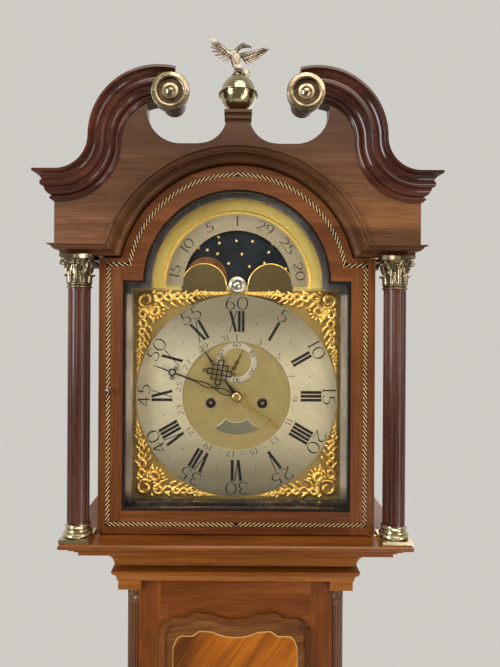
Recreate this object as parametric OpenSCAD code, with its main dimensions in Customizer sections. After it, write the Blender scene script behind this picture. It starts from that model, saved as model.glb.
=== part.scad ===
// Eight-day longcase (grandfather) clock with a swan-neck hood, a break-arch moon dial,
// a weight-driven movement and a seconds pendulum.
// +X is the viewer's right, +Y runs to the back, +Z is up. The origin is the centre of the
// footprint on the floor. Depths are given as b, millimetres forward of the backboard's back.

/* [Case] */
// Height of the hood's deck above the floor
deck_z = 1540; // [1440:10:1640]
// Half width of the trunk
trunk_w = 175; // [170:1:180]
// Depth of the trunk's front face
trunk_b = 190; // [190:1:192]
// Height of the top of the base box
base_top = 520; // [460:10:560]
// Half width of the base box
base_w = 222; // [212:1:232]
// Depth of the base box's front face
base_b = 236; // [230:1:240]

/* [Hood] */
// Half width of the deck that the columns stand on
deck_w = 257; // [254:1:260]
// Depth of the deck's front edge
deck_b = 266; // [264:1:268]
// Half width of the hood door
door_w = 208; // [206:1:208]
// Outer radius of the hood door's arch
door_arch_r = 178; // [177:0.5:178]
// Width of the hood door's stiles and arch rail
stile_w = 36; // [34:1:38]
// Half width of the frieze and tympanum
frieze_w = 267; // [264:1:268]
// Centre of each hood column
column_x = 235; // [234:1:236]

/* [Dial] */
// Half width of the brass dial plate
dial_w = 165; // [160:1:166]
// Outer radius of the chapter ring
chapter_r = 159.5; // [150:0.5:160]
// Inner radius of the chapter ring
chapter_in_r = 85.8; // [85:0.1:90]
// Radius of the dial plate's arch
dial_arch_r = 135; // [130:1:136]
// Time shown at rest, in minutes past twelve
rest_minutes = 648.4; // [640:0.1:655]

/* [Movement] */
// Half the distance between the winding arbors
winding_x = 41; // [41:0.5:41]
// How far the winding arbors lie below the centre arbor
winding_drop = 11.8; // [11.8:0.1:11.8]
// Height of the escape arbor above the centre arbor
seconds_rise = 52.8; // [52.8:0.1:52.8]
// Distance from the pendulum's suspension to the middle of its bob
pendulum_len = 985; // [960:5:994]

/* [Hidden] */
$fn = 64;
overall_b = 294;
back_y = overall_b / 2;
board = 16;
cove_z = deck_z - 61;
trunk_top = deck_z - 66;
door_b = 233;
door_t = 22;
door_bottom = deck_z + 3.5;
shoulder_z = deck_z + 418.5;
arch_z = deck_z + 380.7;
cornice_z = deck_z + 421;
cornice_top = deck_z + 436;
cornice_b = 266;
frieze_b = 258;
arch_in_r = door_arch_r + 2.5;
arch_out_r = 200;
swan_lo_z = deck_z + 498;
swan_hi_z = deck_z + 539;
swan_turn_z = deck_z + 586;
swan_big_x = 112;
swan_small_x = 259;
swan_big_r = 100;
swan_small_r = 47;
swan_band = 41;
swan_end_angle = 104;
boss_x = 95.3;
boss_z = deck_z + 646;
plinth_top = deck_z + 629;
finial_b = 246;
dial_b = 190;
dial_t = 2.5;
dial_z = deck_z + 205.5;
dial_bottom = deck_z + 41;
dial_shoulder = deck_z + 376;
moon_z = deck_z + 382;
moon_orbit = 50;
moon_r = 34;
moon_angle = 168.3;
front_plate_b = 155;
back_plate_b = 92;
plate_t = 3;
plate_w = 72;
seat_z = deck_z + 138;
pendulum_b = 62;
anchor_z = dial_z + seconds_rise + 27;
third_x = 8.85;
third_rise = 27.5;
drum_r = 24;
pulley_r = 21;
line_r = 0.8;
weight_b = 118;
pulley_z = 640;
clear = 0.1;
weight_x = winding_x + drum_r + pulley_r + 2 * line_r;
line_out_x = weight_x + pulley_r + line_r;
line_top = dial_z - winding_drop;
hinge_x = door_w + 3;
trunk_hinge_x = 123;
trunk_door_w = 120;
trunk_door_lo = 618;
trunk_door_hi = deck_z - 163;
trunk_lip_b = trunk_b + 0.4;
trunk_lip_t = 7;
hour_angle = rest_minutes / 2;
minute_angle = rest_minutes * 6;
second_angle = 27;
calendar_angle = 127;

// ---------- helpers ----------

// Points on an arc about [cx, cy], from angle a0 to a1 in n steps
function arc(cx, cy, r, a0, a1, n = 8) =
    [for (i = [0:n]) let (a = a0 + (a1 - a0) * i / n) [cx + r * cos(a), cy + r * sin(a)]];

function reversed(v) = [for (i = [len(v) - 1:-1:0]) v[i]];

// Outline of a clock wheel: n straight-flanked teeth of module m, the first at angle a
function wheel_outline(n, m, a = 0, tip = 0.8, root = 1.2, fill = 0.8) =
    let (rp = n * m / 2, q = 90 / n * fill)
    [for (i = [0:n - 1]) let (t = a + 360 * i / n)
        each [[rp - root * m, t - q * 1.05], [rp, t - q], [rp + tip * m, t - q * 0.4],
              [rp + tip * m, t + q * 0.4], [rp, t + q], [rp - root * m, t + q * 1.05]]];

function polar(v) = [for (p = v) [p[0] * cos(p[1]), p[0] * sin(p[1])]];

// A box between two x, two b and two z values
module bar(x0, x1, b0, b1, z0, z1)
    translate([x0, back_y - b1, z0]) cube([x1 - x0, b1 - b0, z1 - z0]);

// An outline in X and Z, extruded from depth b0 forward to b1
module facing(b0, b1)
    translate([0, back_y - b0, 0]) rotate([90, 0, 0]) linear_extrude(b1 - b0) children();

// An outline of [b, z] points, extruded from x0 to x1
module sideways(points, x0, x1)
    translate([x0, 0, 0]) rotate([90, 0, 90]) linear_extrude(x1 - x0)
        polygon([for (p = points) [back_y - p[0], p[1]]]);

// A body of revolution about a front-to-back line through x, z; the outline is [radius, b]
module turned_fb(x, z, points)
    translate([x, back_y, z]) rotate([90, 0, 0]) rotate_extrude() polygon(points);

// A round bar running front to back
module rod_fb(x, z, r, b0, b1)
    translate([x, back_y - b0, z]) rotate([90, 0, 0]) cylinder(h = b1 - b0, r = r);

module both_sides() {
    children();
    mirror([1, 0, 0]) children();
}

// A moulding that runs round the front and both sides of a box, mitred at the front corners.
// The profile is [projection, z] points from the lowest to the highest.
module wrapped_moulding(profile, w, b, b0 = 0) {
    outer = [for (q = profile) [w + q[0], q[1]]];
    inner = [for (q = reversed(profile)) [-w - q[0], q[1]]];
    intersection() {
        facing(b0, b + 80) polygon(concat(outer, inner));
        sideways(concat([[b0, profile[0][1]]], [for (q = profile) [b + q[0], q[1]]],
            [[b0, profile[len(profile) - 1][1]]]), -w - 80, w + 80);
    }
}

// Break-arch outline: a straight part up to shoulder z, with an arch of radius r about arch z
module break_arch(w, r, z0, z1, za) {
    translate([-w, z0]) square([2 * w, z1 - z0]);
    translate([0, za]) circle(r = r);
    translate([-r, z1 - 1]) square([2 * r, max(za - z1, 0) + 1]);
}

// ---------- base and trunk ----------

base_profile = concat([[0, base_top], [7, base_top]], arc(3, base_top + 6, 6, -60, 90, 6),
    [[-1, base_top + 12], [-1, base_top + 16]],
    arc(-1, base_top + 52, 36, -90, -180, 8), [[-37, base_top + 56], [-44, base_top + 60]]);

module backboard() color("saddlebrown") {
    bar(-base_w, base_w, 0, 15, 70, base_top - 0.1);
    bar(-trunk_w, trunk_w, 0, 15, base_top, deck_z + 1.9);
    facing(0, 15) difference() {
        union() {
            translate([-deck_w + 8, deck_z + 2]) square([2 * deck_w - 16, 403]);
            translate([0, arch_z]) circle(r = 184);
        }
        translate([0, deck_z + 440]) circle(r = 3);
    }
}

module base_carcass() color("sienna") {
    bar(-base_w, base_w, base_b - board, base_b, 70, base_top - 0.1);
    both_sides() bar(base_w - board, base_w, 15.1, base_b - board - 0.1, 70, base_top - 0.1);
    bar(-base_w + board + 0.1, base_w - board - 0.1, 15.1, base_b - board - 0.1, 70, 86);
    facing(base_b, base_b + 5) difference() {
        offset(r = 8) translate([-base_w + 58, 168]) square([2 * base_w - 116, 284]);
        both_sides() translate([base_w - 46, 158]) circle(r = 18);
        both_sides() translate([base_w - 46, 462]) circle(r = 18);
    }
}

foot_profile = concat([[5, 0], [5, 10]], arc(-7, 40, 15, -50, 60, 6), [[4, 80], [9, 88], [9, 98]]);

// The open space between two bracket feet, with rounded shoulders
module foot_gap(l)
    difference() {
        translate([-l / 2, -1]) square([l, 65]);
        both_sides() translate([l / 2, 65]) circle(r = 26);
    }

module bracket_feet() color("saddlebrown") {
    difference() {
        wrapped_moulding(foot_profile, base_w, base_b, 4);
        bar(-base_w + 16, base_w - 16, -1, base_b - 16, -1, 70);
        bar(-base_w, base_w, -1, base_b, 70, 99);
        facing(-1, base_b + 90) foot_gap(2 * base_w - 180);
        translate([-base_w - 90, 0, 0]) rotate([90, 0, 90]) linear_extrude(2 * base_w + 180)
            translate([back_y - base_b / 2, 0]) foot_gap(base_b - 130);
    }
    both_sides() bar(base_w - 60, base_w - 16, 16, 60, 0, 70);
    both_sides() bar(base_w - 60, base_w - 16, base_b - 60, base_b - 16, 0, 70);
}

module base_moulding() color("sienna")
    difference() {
        wrapped_moulding(base_profile, base_w, base_b, 15);
        bar(-trunk_w - 0.1, trunk_w + 0.1, 14, trunk_b + 0.1, base_top - 1, base_top + 70);
    }

// The trunk's sides run up inside the hood and carry the seatboard
module trunk_cheeks() color("sienna")
    both_sides() {
        bar(trunk_w - board, trunk_w, 15.1, trunk_b - 20.5, base_top, cove_z - 2);
        bar(trunk_w - board, trunk_w - 3, 15.1, trunk_b - 20.5, cove_z - 1.9, deck_z + 119.9);
        bar(trunk_w - 35, trunk_w - 21, trunk_b - 40, trunk_b - 18.2, base_top, trunk_top);
    }

// Serpentine top edge of the trunk door and of its opening, grown outward by g
module trunk_door_outline(g) {
    z = trunk_door_hi;
    half = concat([[trunk_door_w + g, trunk_door_lo - g], [trunk_door_w + g, z + g]],
        arc(trunk_door_w - 26, z - 4, 22 + g, 18, 88, 6),
        [[78, z + 18 + g], [74, z + 19 + g]], arc(60, z + 4, 22 + g, 66, 105, 5),
        arc(0, z + 104, 88 - g, -66, -90, 6));
    polygon(concat(half, [for (p = reversed(half)) [-p[0], p[1]]]));
}

module trunk_front_frame() color("sienna")
    difference() {
        bar(-trunk_w + 21, trunk_w - 21, trunk_b - 18, trunk_b, base_top, trunk_top);
        facing(trunk_b - 30, trunk_b + 10) trunk_door_outline(-8);
    }

// A quarter-round column with reeds, standing in a corner of the trunk
module quarter_columns() color("brown")
    both_sides() translate([trunk_w - 20.5, back_y - trunk_b + 20.5, 0]) {
        intersection() {
            union() {
                translate([0, 0, base_top + 92]) cylinder(h = deck_z - 126 - base_top - 92, r = 17);
                for (a = [-82.5:15:-7.5]) rotate([0, 0, a])
                    translate([17, 0, base_top + 92]) cylinder(h = deck_z - 126 - base_top - 92, r = 2);
            }
            translate([0, -30, base_top]) cube([30, 30, 1200]);
        }
        for (lift = [base_top + 60, deck_z - 126]) translate([0, 0, lift])
            rotate([0, 0, -90]) rotate_extrude(angle = 90) polygon(concat([[0, 0], [19, 0]],
                arc(18.5, 4, 2, -90, 90, 6), [[16.5, 9], [16.5, 16]], arc(17.5, 20, 2.5, -90, 90, 6),
                [[18, 26], [0, 26]]));
        translate([0, -20, base_top + 60.1]) cube([20, 20, 0.1]);
        translate([0, -20, base_top + 86]) cube([20, 20, 6]);
    }

top_profile = [[9.5, trunk_top - 33], [9.5, trunk_top - 18], [11.4, trunk_top - 17.4],
    [11.4, trunk_top - 14], [13, trunk_top - 9], [17, trunk_top - 6], [17, trunk_top - 4],
    [18.6, trunk_top - 3], [18.6, trunk_top]];

module trunk_top_moulding() color("sienna") {
    both_sides() bar(trunk_w + 4, trunk_w + 12, 20, trunk_b - 12, trunk_top, cove_z - 0.3);
    difference() {
        wrapped_moulding(top_profile, trunk_w, trunk_b, 15);
        bar(-trunk_w - 0.1, trunk_w + 0.1, 14, trunk_b - 20.4, trunk_top - 40, trunk_top + 1);
        bar(-trunk_w + 20.9, trunk_w - 20.9, 14, trunk_b + 0.1, trunk_top - 40, trunk_top + 1);
        bar(-trunk_w + 26, trunk_w - 26, 14, trunk_b + 20, trunk_top - 40, trunk_top - 17.4);
    }
}

// Knuckles and leaves of the trunk door's two butt hinges
module trunk_hinges() color("goldenrod")
    for (z = [trunk_door_lo + 90, trunk_door_hi - 130]) {
        for (k = [0, 22]) translate([trunk_hinge_x, back_y - trunk_lip_b - 5, z + k])
            cylinder(h = 10.8, r = 3);
        bar(trunk_hinge_x, trunk_hinge_x + 20, trunk_b, trunk_b + 1.6, z, z + 32.8);
        translate([trunk_hinge_x, back_y - trunk_lip_b - 5, z]) cylinder(h = 32.8, r = 1.4);
        for (k = [0, 22]) bar(trunk_hinge_x, trunk_hinge_x + 2.6, trunk_b, trunk_lip_b + 5, z + k, z + k + 10.8);
    }

// ---------- trunk door ----------

module trunk_door() color("peru") {
    facing(trunk_b - 14, trunk_lip_b + 3) trunk_door_outline(-9.2);
}

// The moulded lip that covers the joint round the door
module trunk_door_lip() color("saddlebrown") {
    difference() {
        facing(trunk_lip_b, trunk_lip_b + trunk_lip_t) trunk_door_outline(0);
        facing(trunk_lip_b - 1, trunk_lip_b + trunk_lip_t + 1) trunk_door_outline(-9.2);
    }
    for (z = [trunk_door_lo + 90, trunk_door_hi - 130])
        difference() {
            union() {
                translate([trunk_hinge_x, back_y - trunk_lip_b - 5, z + 11]) cylinder(h = 10.8, r = 3);
                bar(trunk_door_w - 6, trunk_hinge_x, trunk_lip_b + 5.4, trunk_lip_b + 8, z + 11, z + 21.8);
            }
            translate([trunk_hinge_x, back_y - trunk_lip_b - 5, z + 10]) cylinder(h = 13, r = 1.5);
        }
}

module trunk_door_lock() color("goldenrod") {
    z = (trunk_door_lo + trunk_door_hi) / 2 + 60;
    facing(trunk_lip_b + 3, trunk_lip_b + 4.5) difference() {
        translate([-trunk_door_w + 24, z]) circle(r = 9);
        translate([-trunk_door_w + 24, z + 2]) circle(r = 2.4);
        translate([-trunk_door_w + 23, z - 5]) square([2, 7]);
    }
    bar(-trunk_door_w + 10, -trunk_door_w + 42, trunk_b - 22, trunk_b - 14.1, z - 26, z + 24);
}

// ---------- movement ----------

module seatboard() color("tan")
    difference() {
        bar(-trunk_w + 3.2, trunk_w - 3.2, 22, 176, deck_z + 120, seat_z);
        bar(-34, 34, 30, 88, deck_z + 119, seat_z + 1);
        both_sides() bar(winding_x + 14, winding_x + 36, 98, 148, deck_z + 119, seat_z + 1);
        both_sides() translate([line_out_x, back_y - weight_b, deck_z + 119]) cylinder(h = 30, r = 3);
    }

// A pillar with turned collars between the plates
module pillar(x, z) {
    turned_fb(x, z, [[0, back_plate_b + plate_t], [5.5, back_plate_b + plate_t],
        [5.5, back_plate_b + plate_t + 4], [3.2, back_plate_b + plate_t + 6],
        [3.2, 118], [5, 121], [5, 126], [3.2, 129], [3.2, front_plate_b - 6],
        [5.5, front_plate_b - 4], [5.5, front_plate_b], [0, front_plate_b]]);
}

module movement_frame() color("goldenrod") {
    for (b = [back_plate_b, front_plate_b]) difference() {
        bar(-plate_w, plate_w, b, b + plate_t, seat_z, dial_z + 98);
        for (p = [[0, 0], [third_x, third_rise], [0, seconds_rise], [0, anchor_z - dial_z],
                  [winding_x, -winding_drop], [-winding_x, -winding_drop], [-52, 70]])
            rod_fb(p[0], dial_z + p[1], abs(p[1]) == winding_drop ? 3.9 : 1.6, b - 1, b + plate_t + 1);
    }
    // iron hooks that hold the standing ends of the lines
    both_sides() {
        translate([line_out_x + 8, back_y - weight_b, seat_z]) cylinder(h = line_top - seat_z + 5, r = 2.5);
        bar(line_out_x - 1.5, line_out_x + 8, weight_b - 2, weight_b + 2, line_top + 0.4, line_top + 5);
    }
    for (p = [[60, -56], [-60, -56], [60, 88], [-38, 90]]) pillar(p[0], dial_z + p[1]);
}

module pendulum_cock() color("goldenrod") {
    difference() {
        bar(-24, 24, back_plate_b - 5, back_plate_b, anchor_z + 1, anchor_z + 20);
        rod_fb(0, anchor_z, 4, back_plate_b - 6, back_plate_b + 1);
    }
    bar(-7, 7, pendulum_b - 8, back_plate_b - 5, anchor_z + 8, anchor_z + 20);
}

// A bell on an iron stand above the plates
module bell() color("darkgoldenrod") {
    z = dial_z + 112;
    translate([0, back_y - 120, z]) rotate_extrude()
        polygon(concat(arc(0, -12, 40, 18, 88, 10), [[0, 28], [0, 25]], reversed(arc(0, -12, 37, 18, 88, 10))));
    translate([0, back_y - 120, dial_z + 98]) cylinder(h = 41, r = 2.5);
    bar(-6, 6, back_plate_b + 1, 124, dial_z + 98, dial_z + 101);
    translate([0, back_y - 120, z + 28]) cylinder(h = 5, r = 5, $fn = 6);
}

// ---------- dial ----------

module dial_plate() color("gold") {
    difference() {
        facing(dial_b - dial_t, dial_b) break_arch(dial_w, dial_arch_r, dial_bottom, dial_shoulder, moon_z);
        difference() {
            facing(dial_b - 5, dial_b + 5) difference() {
                translate([0, moon_z]) circle(r = 86);
                translate([-90, moon_z - 90]) square([180, 89]);
            }
            both_sides() rod_fb(52.8, moon_z - 2.5, 36, dial_b - 6, dial_b + 6);
            rod_fb(0, moon_z - 1, 14, dial_b - 6, dial_b + 6);
        }
        rod_fb(0, dial_z, 7, dial_b - 5, dial_b + 5);
        rod_fb(0, dial_z + seconds_rise, 2.5, dial_b - 5, dial_b + 5);
        both_sides() rod_fb(winding_x, dial_z - winding_drop, 6, dial_b - 5, dial_b + 5);
    }
    // raised border round the arch
    difference() {
        facing(dial_b, dial_b + 2.4) difference() {
            translate([0, moon_z]) circle(r = dial_arch_r);
            translate([0, moon_z]) circle(r = 116.5);
        }
        bar(-dial_w, dial_w, 0, 300, dial_bottom, dial_shoulder);
    }
    for (x = [-58, 58], z = [-48, 80]) rod_fb(x, dial_z + z, 2.6, front_plate_b + plate_t, dial_b - dial_t);
}

module chapter_ring() color("silver")
    turned_fb(0, dial_z, [[chapter_in_r, dial_b], [chapter_r, dial_b], [chapter_r, dial_b + 1.6],
        [chapter_r - 0.4, dial_b + 2], [chapter_in_r + 0.4, dial_b + 2], [chapter_in_r, dial_b + 1.6]]);

module seconds_ring() color("silver")
    turned_fb(0, dial_z + seconds_rise, [[23.4, dial_b], [32.6, dial_b], [32.6, dial_b + 1.2],
        [24, dial_b + 1.2], [23.4, dial_b + 0.8]]);

module lunar_ring() color("silver")
    difference() {
        turned_fb(0, moon_z, [[86, dial_b], [111.8, dial_b], [111.8, dial_b + 1.5], [86, dial_b + 1.5]]);
        bar(-dial_w, dial_w, 0, 300, dial_bottom, moon_z - 2);
    }

// Blank silvered plaque below the centre, with two cusps
module dial_plaque() color("silver")
    facing(dial_b, dial_b + 1.4) difference() {
        translate([0, dial_z + 8]) circle(r = 69);
        translate([0, dial_z + 4]) circle(r = 43);
        translate([-80, dial_z - 35.5]) square([160, 125.5]);
        both_sides() translate([44, dial_z - 21]) circle(r = 30);
        translate([0, dial_z - 14]) circle(r = 28);
    }

module spandrels() color("gold") {
    facing(dial_b, dial_b + 3) both_sides() {
        difference() {
            translate([62, dial_bottom + 4]) square([dial_w - 66, 96]);
            translate([0, dial_z]) circle(r = chapter_r + 3);
        }
        difference() {
            translate([62, dial_shoulder - 96]) square([dial_w - 66, 92]);
            translate([0, dial_z]) circle(r = chapter_r + 3);
        }
    }
}

// Polished button over the moon disc's arbor
module moon_boss() color("silver")
    turned_fb(0, moon_z - 1, concat([[0, dial_b], [12.7, dial_b], [12.7, dial_b + 1.5], [9.5, dial_b + 2.5],
        [8, dial_b + 2]], arc(0, dial_b - 2, 9, 26, 90, 8)));

module moon_disc() color("midnightblue") {
    difference() {
        rod_fb(0, moon_z, 96, dial_b - 6, dial_b - 4.4);
        rod_fb(0, moon_z, 2, dial_b - 8, dial_b);
    }
    for (s = [0, 180]) rod_fb(moon_orbit * cos(moon_angle + s), moon_z + moon_orbit * sin(moon_angle + s),
        moon_r, dial_b - 4.4, dial_b - 3.9);
    rod_fb(0, moon_z, 2, dial_b - 14, dial_b - 3);
}

// ---------- going train and hands ----------

module wheel_fb(x, z, n, m, a, b0, b1, hub = 1.5, rim = 0)
    translate([x, back_y - b0, z]) rotate([90, 0, 0]) linear_extrude(b1 - b0) difference() {
        polygon(polar(wheel_outline(n, m, a)));
        if (rim > 0) difference() {
            circle(r = n * m / 2 - rim);
            circle(r = hub + 4);
            for (k = [0:3]) rotate(45 + 90 * k) translate([0, -1.5]) square([n * m / 2, 3]);
        }
        circle(r = hub);
    }

module pinion_fb(x, z, n, m, a, b0, b1)
    translate([x, back_y - b0, z]) rotate([90, 0, 0]) linear_extrude(b1 - b0)
        polygon(polar(wheel_outline(n, m, a, 0.4, 1.35, 0.62)));

great_angle = atan2(winding_drop, -winding_x);
third_angle = atan2(third_rise, third_x);
escape_angle = atan2(seconds_rise - third_rise, -third_x);

module centre_wheel() color("goldenrod") {
    rod_fb(0, dial_z, 1.5, back_plate_b - 2, 203);
    wheel_fb(0, dial_z, 60, 0.85, third_angle, 98, 100, 1.4, 5);
    pinion_fb(0, dial_z, 8, 0.8204, great_angle + 180 + 22.5, 147, 152);
    rod_fb(0, dial_z, 3, front_plate_b + plate_t + 1, 198);
    wheel_fb(0, dial_z, 36, 0.65, -90, 161, 163, 2.9);
}

module third_wheel() color("goldenrod") {
    x = third_x;
    z = dial_z + third_rise;
    rod_fb(x, z, 1.5, back_plate_b - 0.5, front_plate_b + plate_t - 0.5);
    pinion_fb(x, z, 8, 0.85, third_angle + 180 + 22.5, 97, 101.5);
    wheel_fb(x, z, 56, 0.85, escape_angle, 110, 112, 1.4, 5);
}

module escape_wheel() color("goldenrod") {
    z = dial_z + seconds_rise;
    rod_fb(0, z, 1.5, back_plate_b - 0.5, 193.2);
    pinion_fb(0, z, 7, 0.85, escape_angle + 180 + 180 / 7, 109, 113);
    translate([0, back_y - 128, z]) rotate([90, 0, 0]) linear_extrude(2) difference() {
        polygon([for (i = [0:29]) each [[15.5 * cos(12 * i), 15.5 * sin(12 * i)],
            [19.2 * cos(12 * i + 3), 19.2 * sin(12 * i + 3)], [15.5 * cos(12 * i + 5), 15.5 * sin(12 * i + 5)]]]);
        difference() {
            circle(r = 13);
            circle(r = 5);
            for (k = [0:3]) rotate(90 * k) translate([0, -1.2]) square([15, 2.4]);
        }
        circle(r = 1.4);
    }
}

module minute_wheel() color("goldenrod") {
    z = dial_z - 23.4;
    rod_fb(0, z, 1.5, front_plate_b + plate_t + 0.3, 163.4);
    rod_fb(0, z, 0.8, 163.4, 169);
    wheel_fb(0, z, 36, 0.65, 90 + 5, 161, 163, 1.4);
    pinion_fb(0, z, 6, 0.5, 90 + 30, 163.5, 168);
}

module hour_wheel() color("goldenrod") {
    difference() {
        union() {
            rod_fb(0, dial_z, 4.5, 164, 196.4);
            wheel_fb(0, dial_z, 72, 0.6, -90, 164.6, 166.6, 4.4, 4);
        }
        rod_fb(0, dial_z, 3 + clear, 150, 210);
    }
}

// A barrel with its great wheel, drum and winding square; side is 1 for going, -1 for striking
module barrel(side, wheel_b) {
    x = side * winding_x;
    z = dial_z - winding_drop;
    wheel_fb(x, z, 96, 0.8204, side > 0 ? great_angle : 2, wheel_b, wheel_b + 2, 3, 6);
    difference() {
        turned_fb(x, z, [[0, 103], [drum_r + 3, 103], [drum_r + 3, 105], [drum_r, 105], [drum_r, 135],
            [drum_r + 3, 135], [drum_r + 3, 137], [0, 137]]);
    }
    rod_fb(x, z, 3.8, back_plate_b + 0.2, 170);
    translate([x, back_y - 170, z]) rotate([90, 45, 0]) cylinder(h = 19, r = 3.4, $fn = 4);
}

module going_barrel() color("goldenrod") barrel(1, 148.5);
module strike_barrel() color("goldenrod") barrel(-1, 141);

// Serpentine minute hand: two crossing curves, a cross with rings, and a slim tip
module minute_hand() color("black")
    translate([0, back_y - 198.2, dial_z]) rotate([90, 0, 0]) rotate([0, 0, -minute_angle]) {
        difference() {
            linear_extrude(1.2) union() {
                circle(r = 7);
                for (s = [-1, 1]) polygon(concat(
                    [for (t = [0:20]) [s * 4.5 * sin(t * 18) * (1 - t / 50) + 0.8, 6 + t * 3.2]],
                    [for (t = [20:-1:0]) [s * 4.5 * sin(t * 18) * (1 - t / 50) - 0.8, 6 + t * 3.2]]));
                polygon([[-1.3, 68], [1.3, 68], [1.1, 104], [-1.1, 104]]);
                translate([0, 108]) difference() {
                    circle(r = 6);
                    circle(r = 3.8);
                }
                for (s = [-1, 1]) translate([s * 8.2, 105]) difference() {
                    circle(r = 3);
                    circle(r = 1.4);
                }
                polygon([[-1.1, 113], [1.1, 113], [0.4, 140], [-0.4, 140]]);
            }
            translate([0, 0, -1]) cylinder(h = 4, r = 1.5);
        }
        translate([0, 0, 1.2]) difference() {
            cylinder(h = 2.6, r1 = 8, r2 = 6.5);
            translate([0, 0, -1]) cylinder(h = 6, r = 1.5);
        }
    }

// Hour hand with a square pierced head
module hour_hand() color("black")
    translate([0, back_y - 195.2, dial_z]) rotate([90, 0, 0]) rotate([0, 0, -hour_angle])
        linear_extrude(1.2) difference() {
            union() {
                circle(r = 8);
                polygon([[-4, 6], [4, 6], [2, 30], [-2, 30]]);
                difference() {
                    translate([-17, 29]) square([34, 34]);
                    for (i = [-1, 0, 1], k = [0, 1, 2]) translate([i * 10.8, 35.2 + k * 10.8]) circle(r = 4);
                }
                for (s = [-1, 1]) translate([s * 17, 63]) circle(r = 3);
                polygon([[-3.5, 63], [3.5, 63], [1.2, 78], [0.5, 100], [-0.5, 100], [-1.2, 78]]);
            }
            circle(r = 4.5);
        }

module seconds_hand() color("black")
    translate([0, back_y - 191.8, dial_z + seconds_rise]) rotate([90, 0, 0]) rotate([0, 0, -second_angle])
        linear_extrude(0.8) difference() {
            union() {
                circle(r = 3);
                polygon([[-0.8, -8], [0.8, -8], [0.8, 2], [0.3, 21], [-0.3, 21], [-0.8, 2]]);
                translate([0, -10]) circle(r = 3);
            }
            translate([0, -10]) circle(r = 1.5);
            circle(r = 1.5);
        }

module calendar_hand() color("goldenrod")
    translate([0, back_y - dial_b, dial_z]) rotate([90, 0, 0]) difference() {
        union() {
            translate([0, 0, -10]) cylinder(h = 14.8, r = 6);
            translate([0, 0, -10]) linear_extrude(1.5) polygon(polar(wheel_outline(62, 0.7)));
            translate([0, 0, 3.6]) linear_extrude(0.8) rotate(-calendar_angle)
                polygon([[-3, 4], [3, 4], [1.2, 30], [1, 66], [3.4, 70], [0, 82], [-3.4, 70], [-1, 66], [-1.2, 30]]);
        }
        translate([0, 0, -20]) cylinder(h = 40, r = 4.5 + clear);
    }

// Anchor, its arbor and the crutch behind the back plate
module anchor() color("dimgray") {
    rod_fb(0, anchor_z, 1.5, back_plate_b - 12, front_plate_b + plate_t - 0.5);
    translate([0, back_y - 127.5, anchor_z]) rotate([90, 0, 0]) linear_extrude(3) difference() {
        union() {
            circle(r = 5);
            for (s = [-1, 1]) polygon([[0, 5], [s * 17, -3], [s * 18.5, -14], [s * 16.8, -13.5], [s * 14.5, -5], [0, -2]]);
        }
        circle(r = 1.4);
    }
    bar(-1.5, 1.5, back_plate_b - 12, back_plate_b - 9, anchor_z - 120, anchor_z + 4);
    for (s = [-1, 1]) bar(s * 4.6 - 1, s * 4.6 + 1, pendulum_b - 5, back_plate_b - 9, anchor_z - 120, anchor_z - 117);
    bar(-5.6, 5.6, back_plate_b - 12, back_plate_b - 9, anchor_z - 120, anchor_z - 117);
}

// Suspension spring, rod, lenticular bob and rating nut
module pendulum() color("goldenrod") {
    z = anchor_z - pendulum_len;
    bar(-6, 6, pendulum_b - 4, pendulum_b + 4, anchor_z - 46, anchor_z - 36);
    bar(-4.5, 4.5, pendulum_b - 0.4, pendulum_b + 0.4, anchor_z - 40, anchor_z + 7.8);
    translate([0, back_y - pendulum_b, z - 82]) cylinder(h = pendulum_len + 40, r = 2.4);
    turned_fb(0, z, concat(arc(0, pendulum_b + 132, 144, -90, -67.6, 6),
        reversed(arc(0, pendulum_b - 132, 144, 90, 67.6, 6))));
    translate([0, back_y - pendulum_b, z - 72]) cylinder(h = 9, r = 9);
}

module bell_hammer() color("dimgray") {
    rod_fb(-52, dial_z + 70, 1.5, back_plate_b - 0.5, front_plate_b + plate_t - 0.5);
    sideways([[118, dial_z + 68], [122, dial_z + 68], [122, dial_z + 118], [118, dial_z + 118]], -53.5, -50.5);
    translate([-58, back_y - 120, dial_z + 118]) rotate([0, 90, 0]) cylinder(h = 12, r = 5);
}

// ---------- weights ----------

// A cased weight with its hook and pulley stirrup; side is 1 for going, -1 for striking
module weight(side)
    translate([side * weight_x, back_y - weight_b, 0]) {
        translate([0, 0, pulley_z - 262]) rotate_extrude() polygon([[0, 0], [26, 0], [30, 4], [30, 196], [26, 200],
            [8, 204], [3, 206], [3, 216], [0, 216]]);
        translate([-4, -6, pulley_z - 46]) cube([8, 12, 4]);
        for (s = [-1, 1]) translate([-4, s * 5 - 1, pulley_z - 46]) cube([8, 2, 52]);
        translate([0, 0, pulley_z]) rotate([90, 0, 0]) {
            translate([0, 0, -6]) cylinder(h = 12, r = 2);
            difference() {
                translate([0, 0, -3.5]) rotate_extrude() polygon([[0, 0], [pulley_r + 2.6, 0], [pulley_r, 3],
                    [pulley_r, 4], [pulley_r + 2.6, 7], [0, 7]]);
                for (a = [30:60:330]) rotate(a) translate([11, 0, -5]) cylinder(h = 10, r = 3.6);
            }
            rotate([0, 0, 180]) rotate_extrude(angle = 180) translate([pulley_r + line_r - 0.05, 0]) circle(r = line_r);
        }
    }

module going_weight() color("goldenrod") weight(1);
module strike_weight() color("goldenrod") weight(-1);

// The two falls of a gut line, from the barrel down to the pulley and up to the hook
module gut_line(side)
    for (x = [weight_x - pulley_r - line_r, line_out_x])
        translate([side * x, back_y - weight_b, pulley_z + 2]) cylinder(h = line_top - pulley_z - 2, r = line_r, $fn = 24);

module going_line() color("tan") gut_line(1);
module strike_line() color("tan") gut_line(-1);

// ---------- hood ----------

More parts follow.
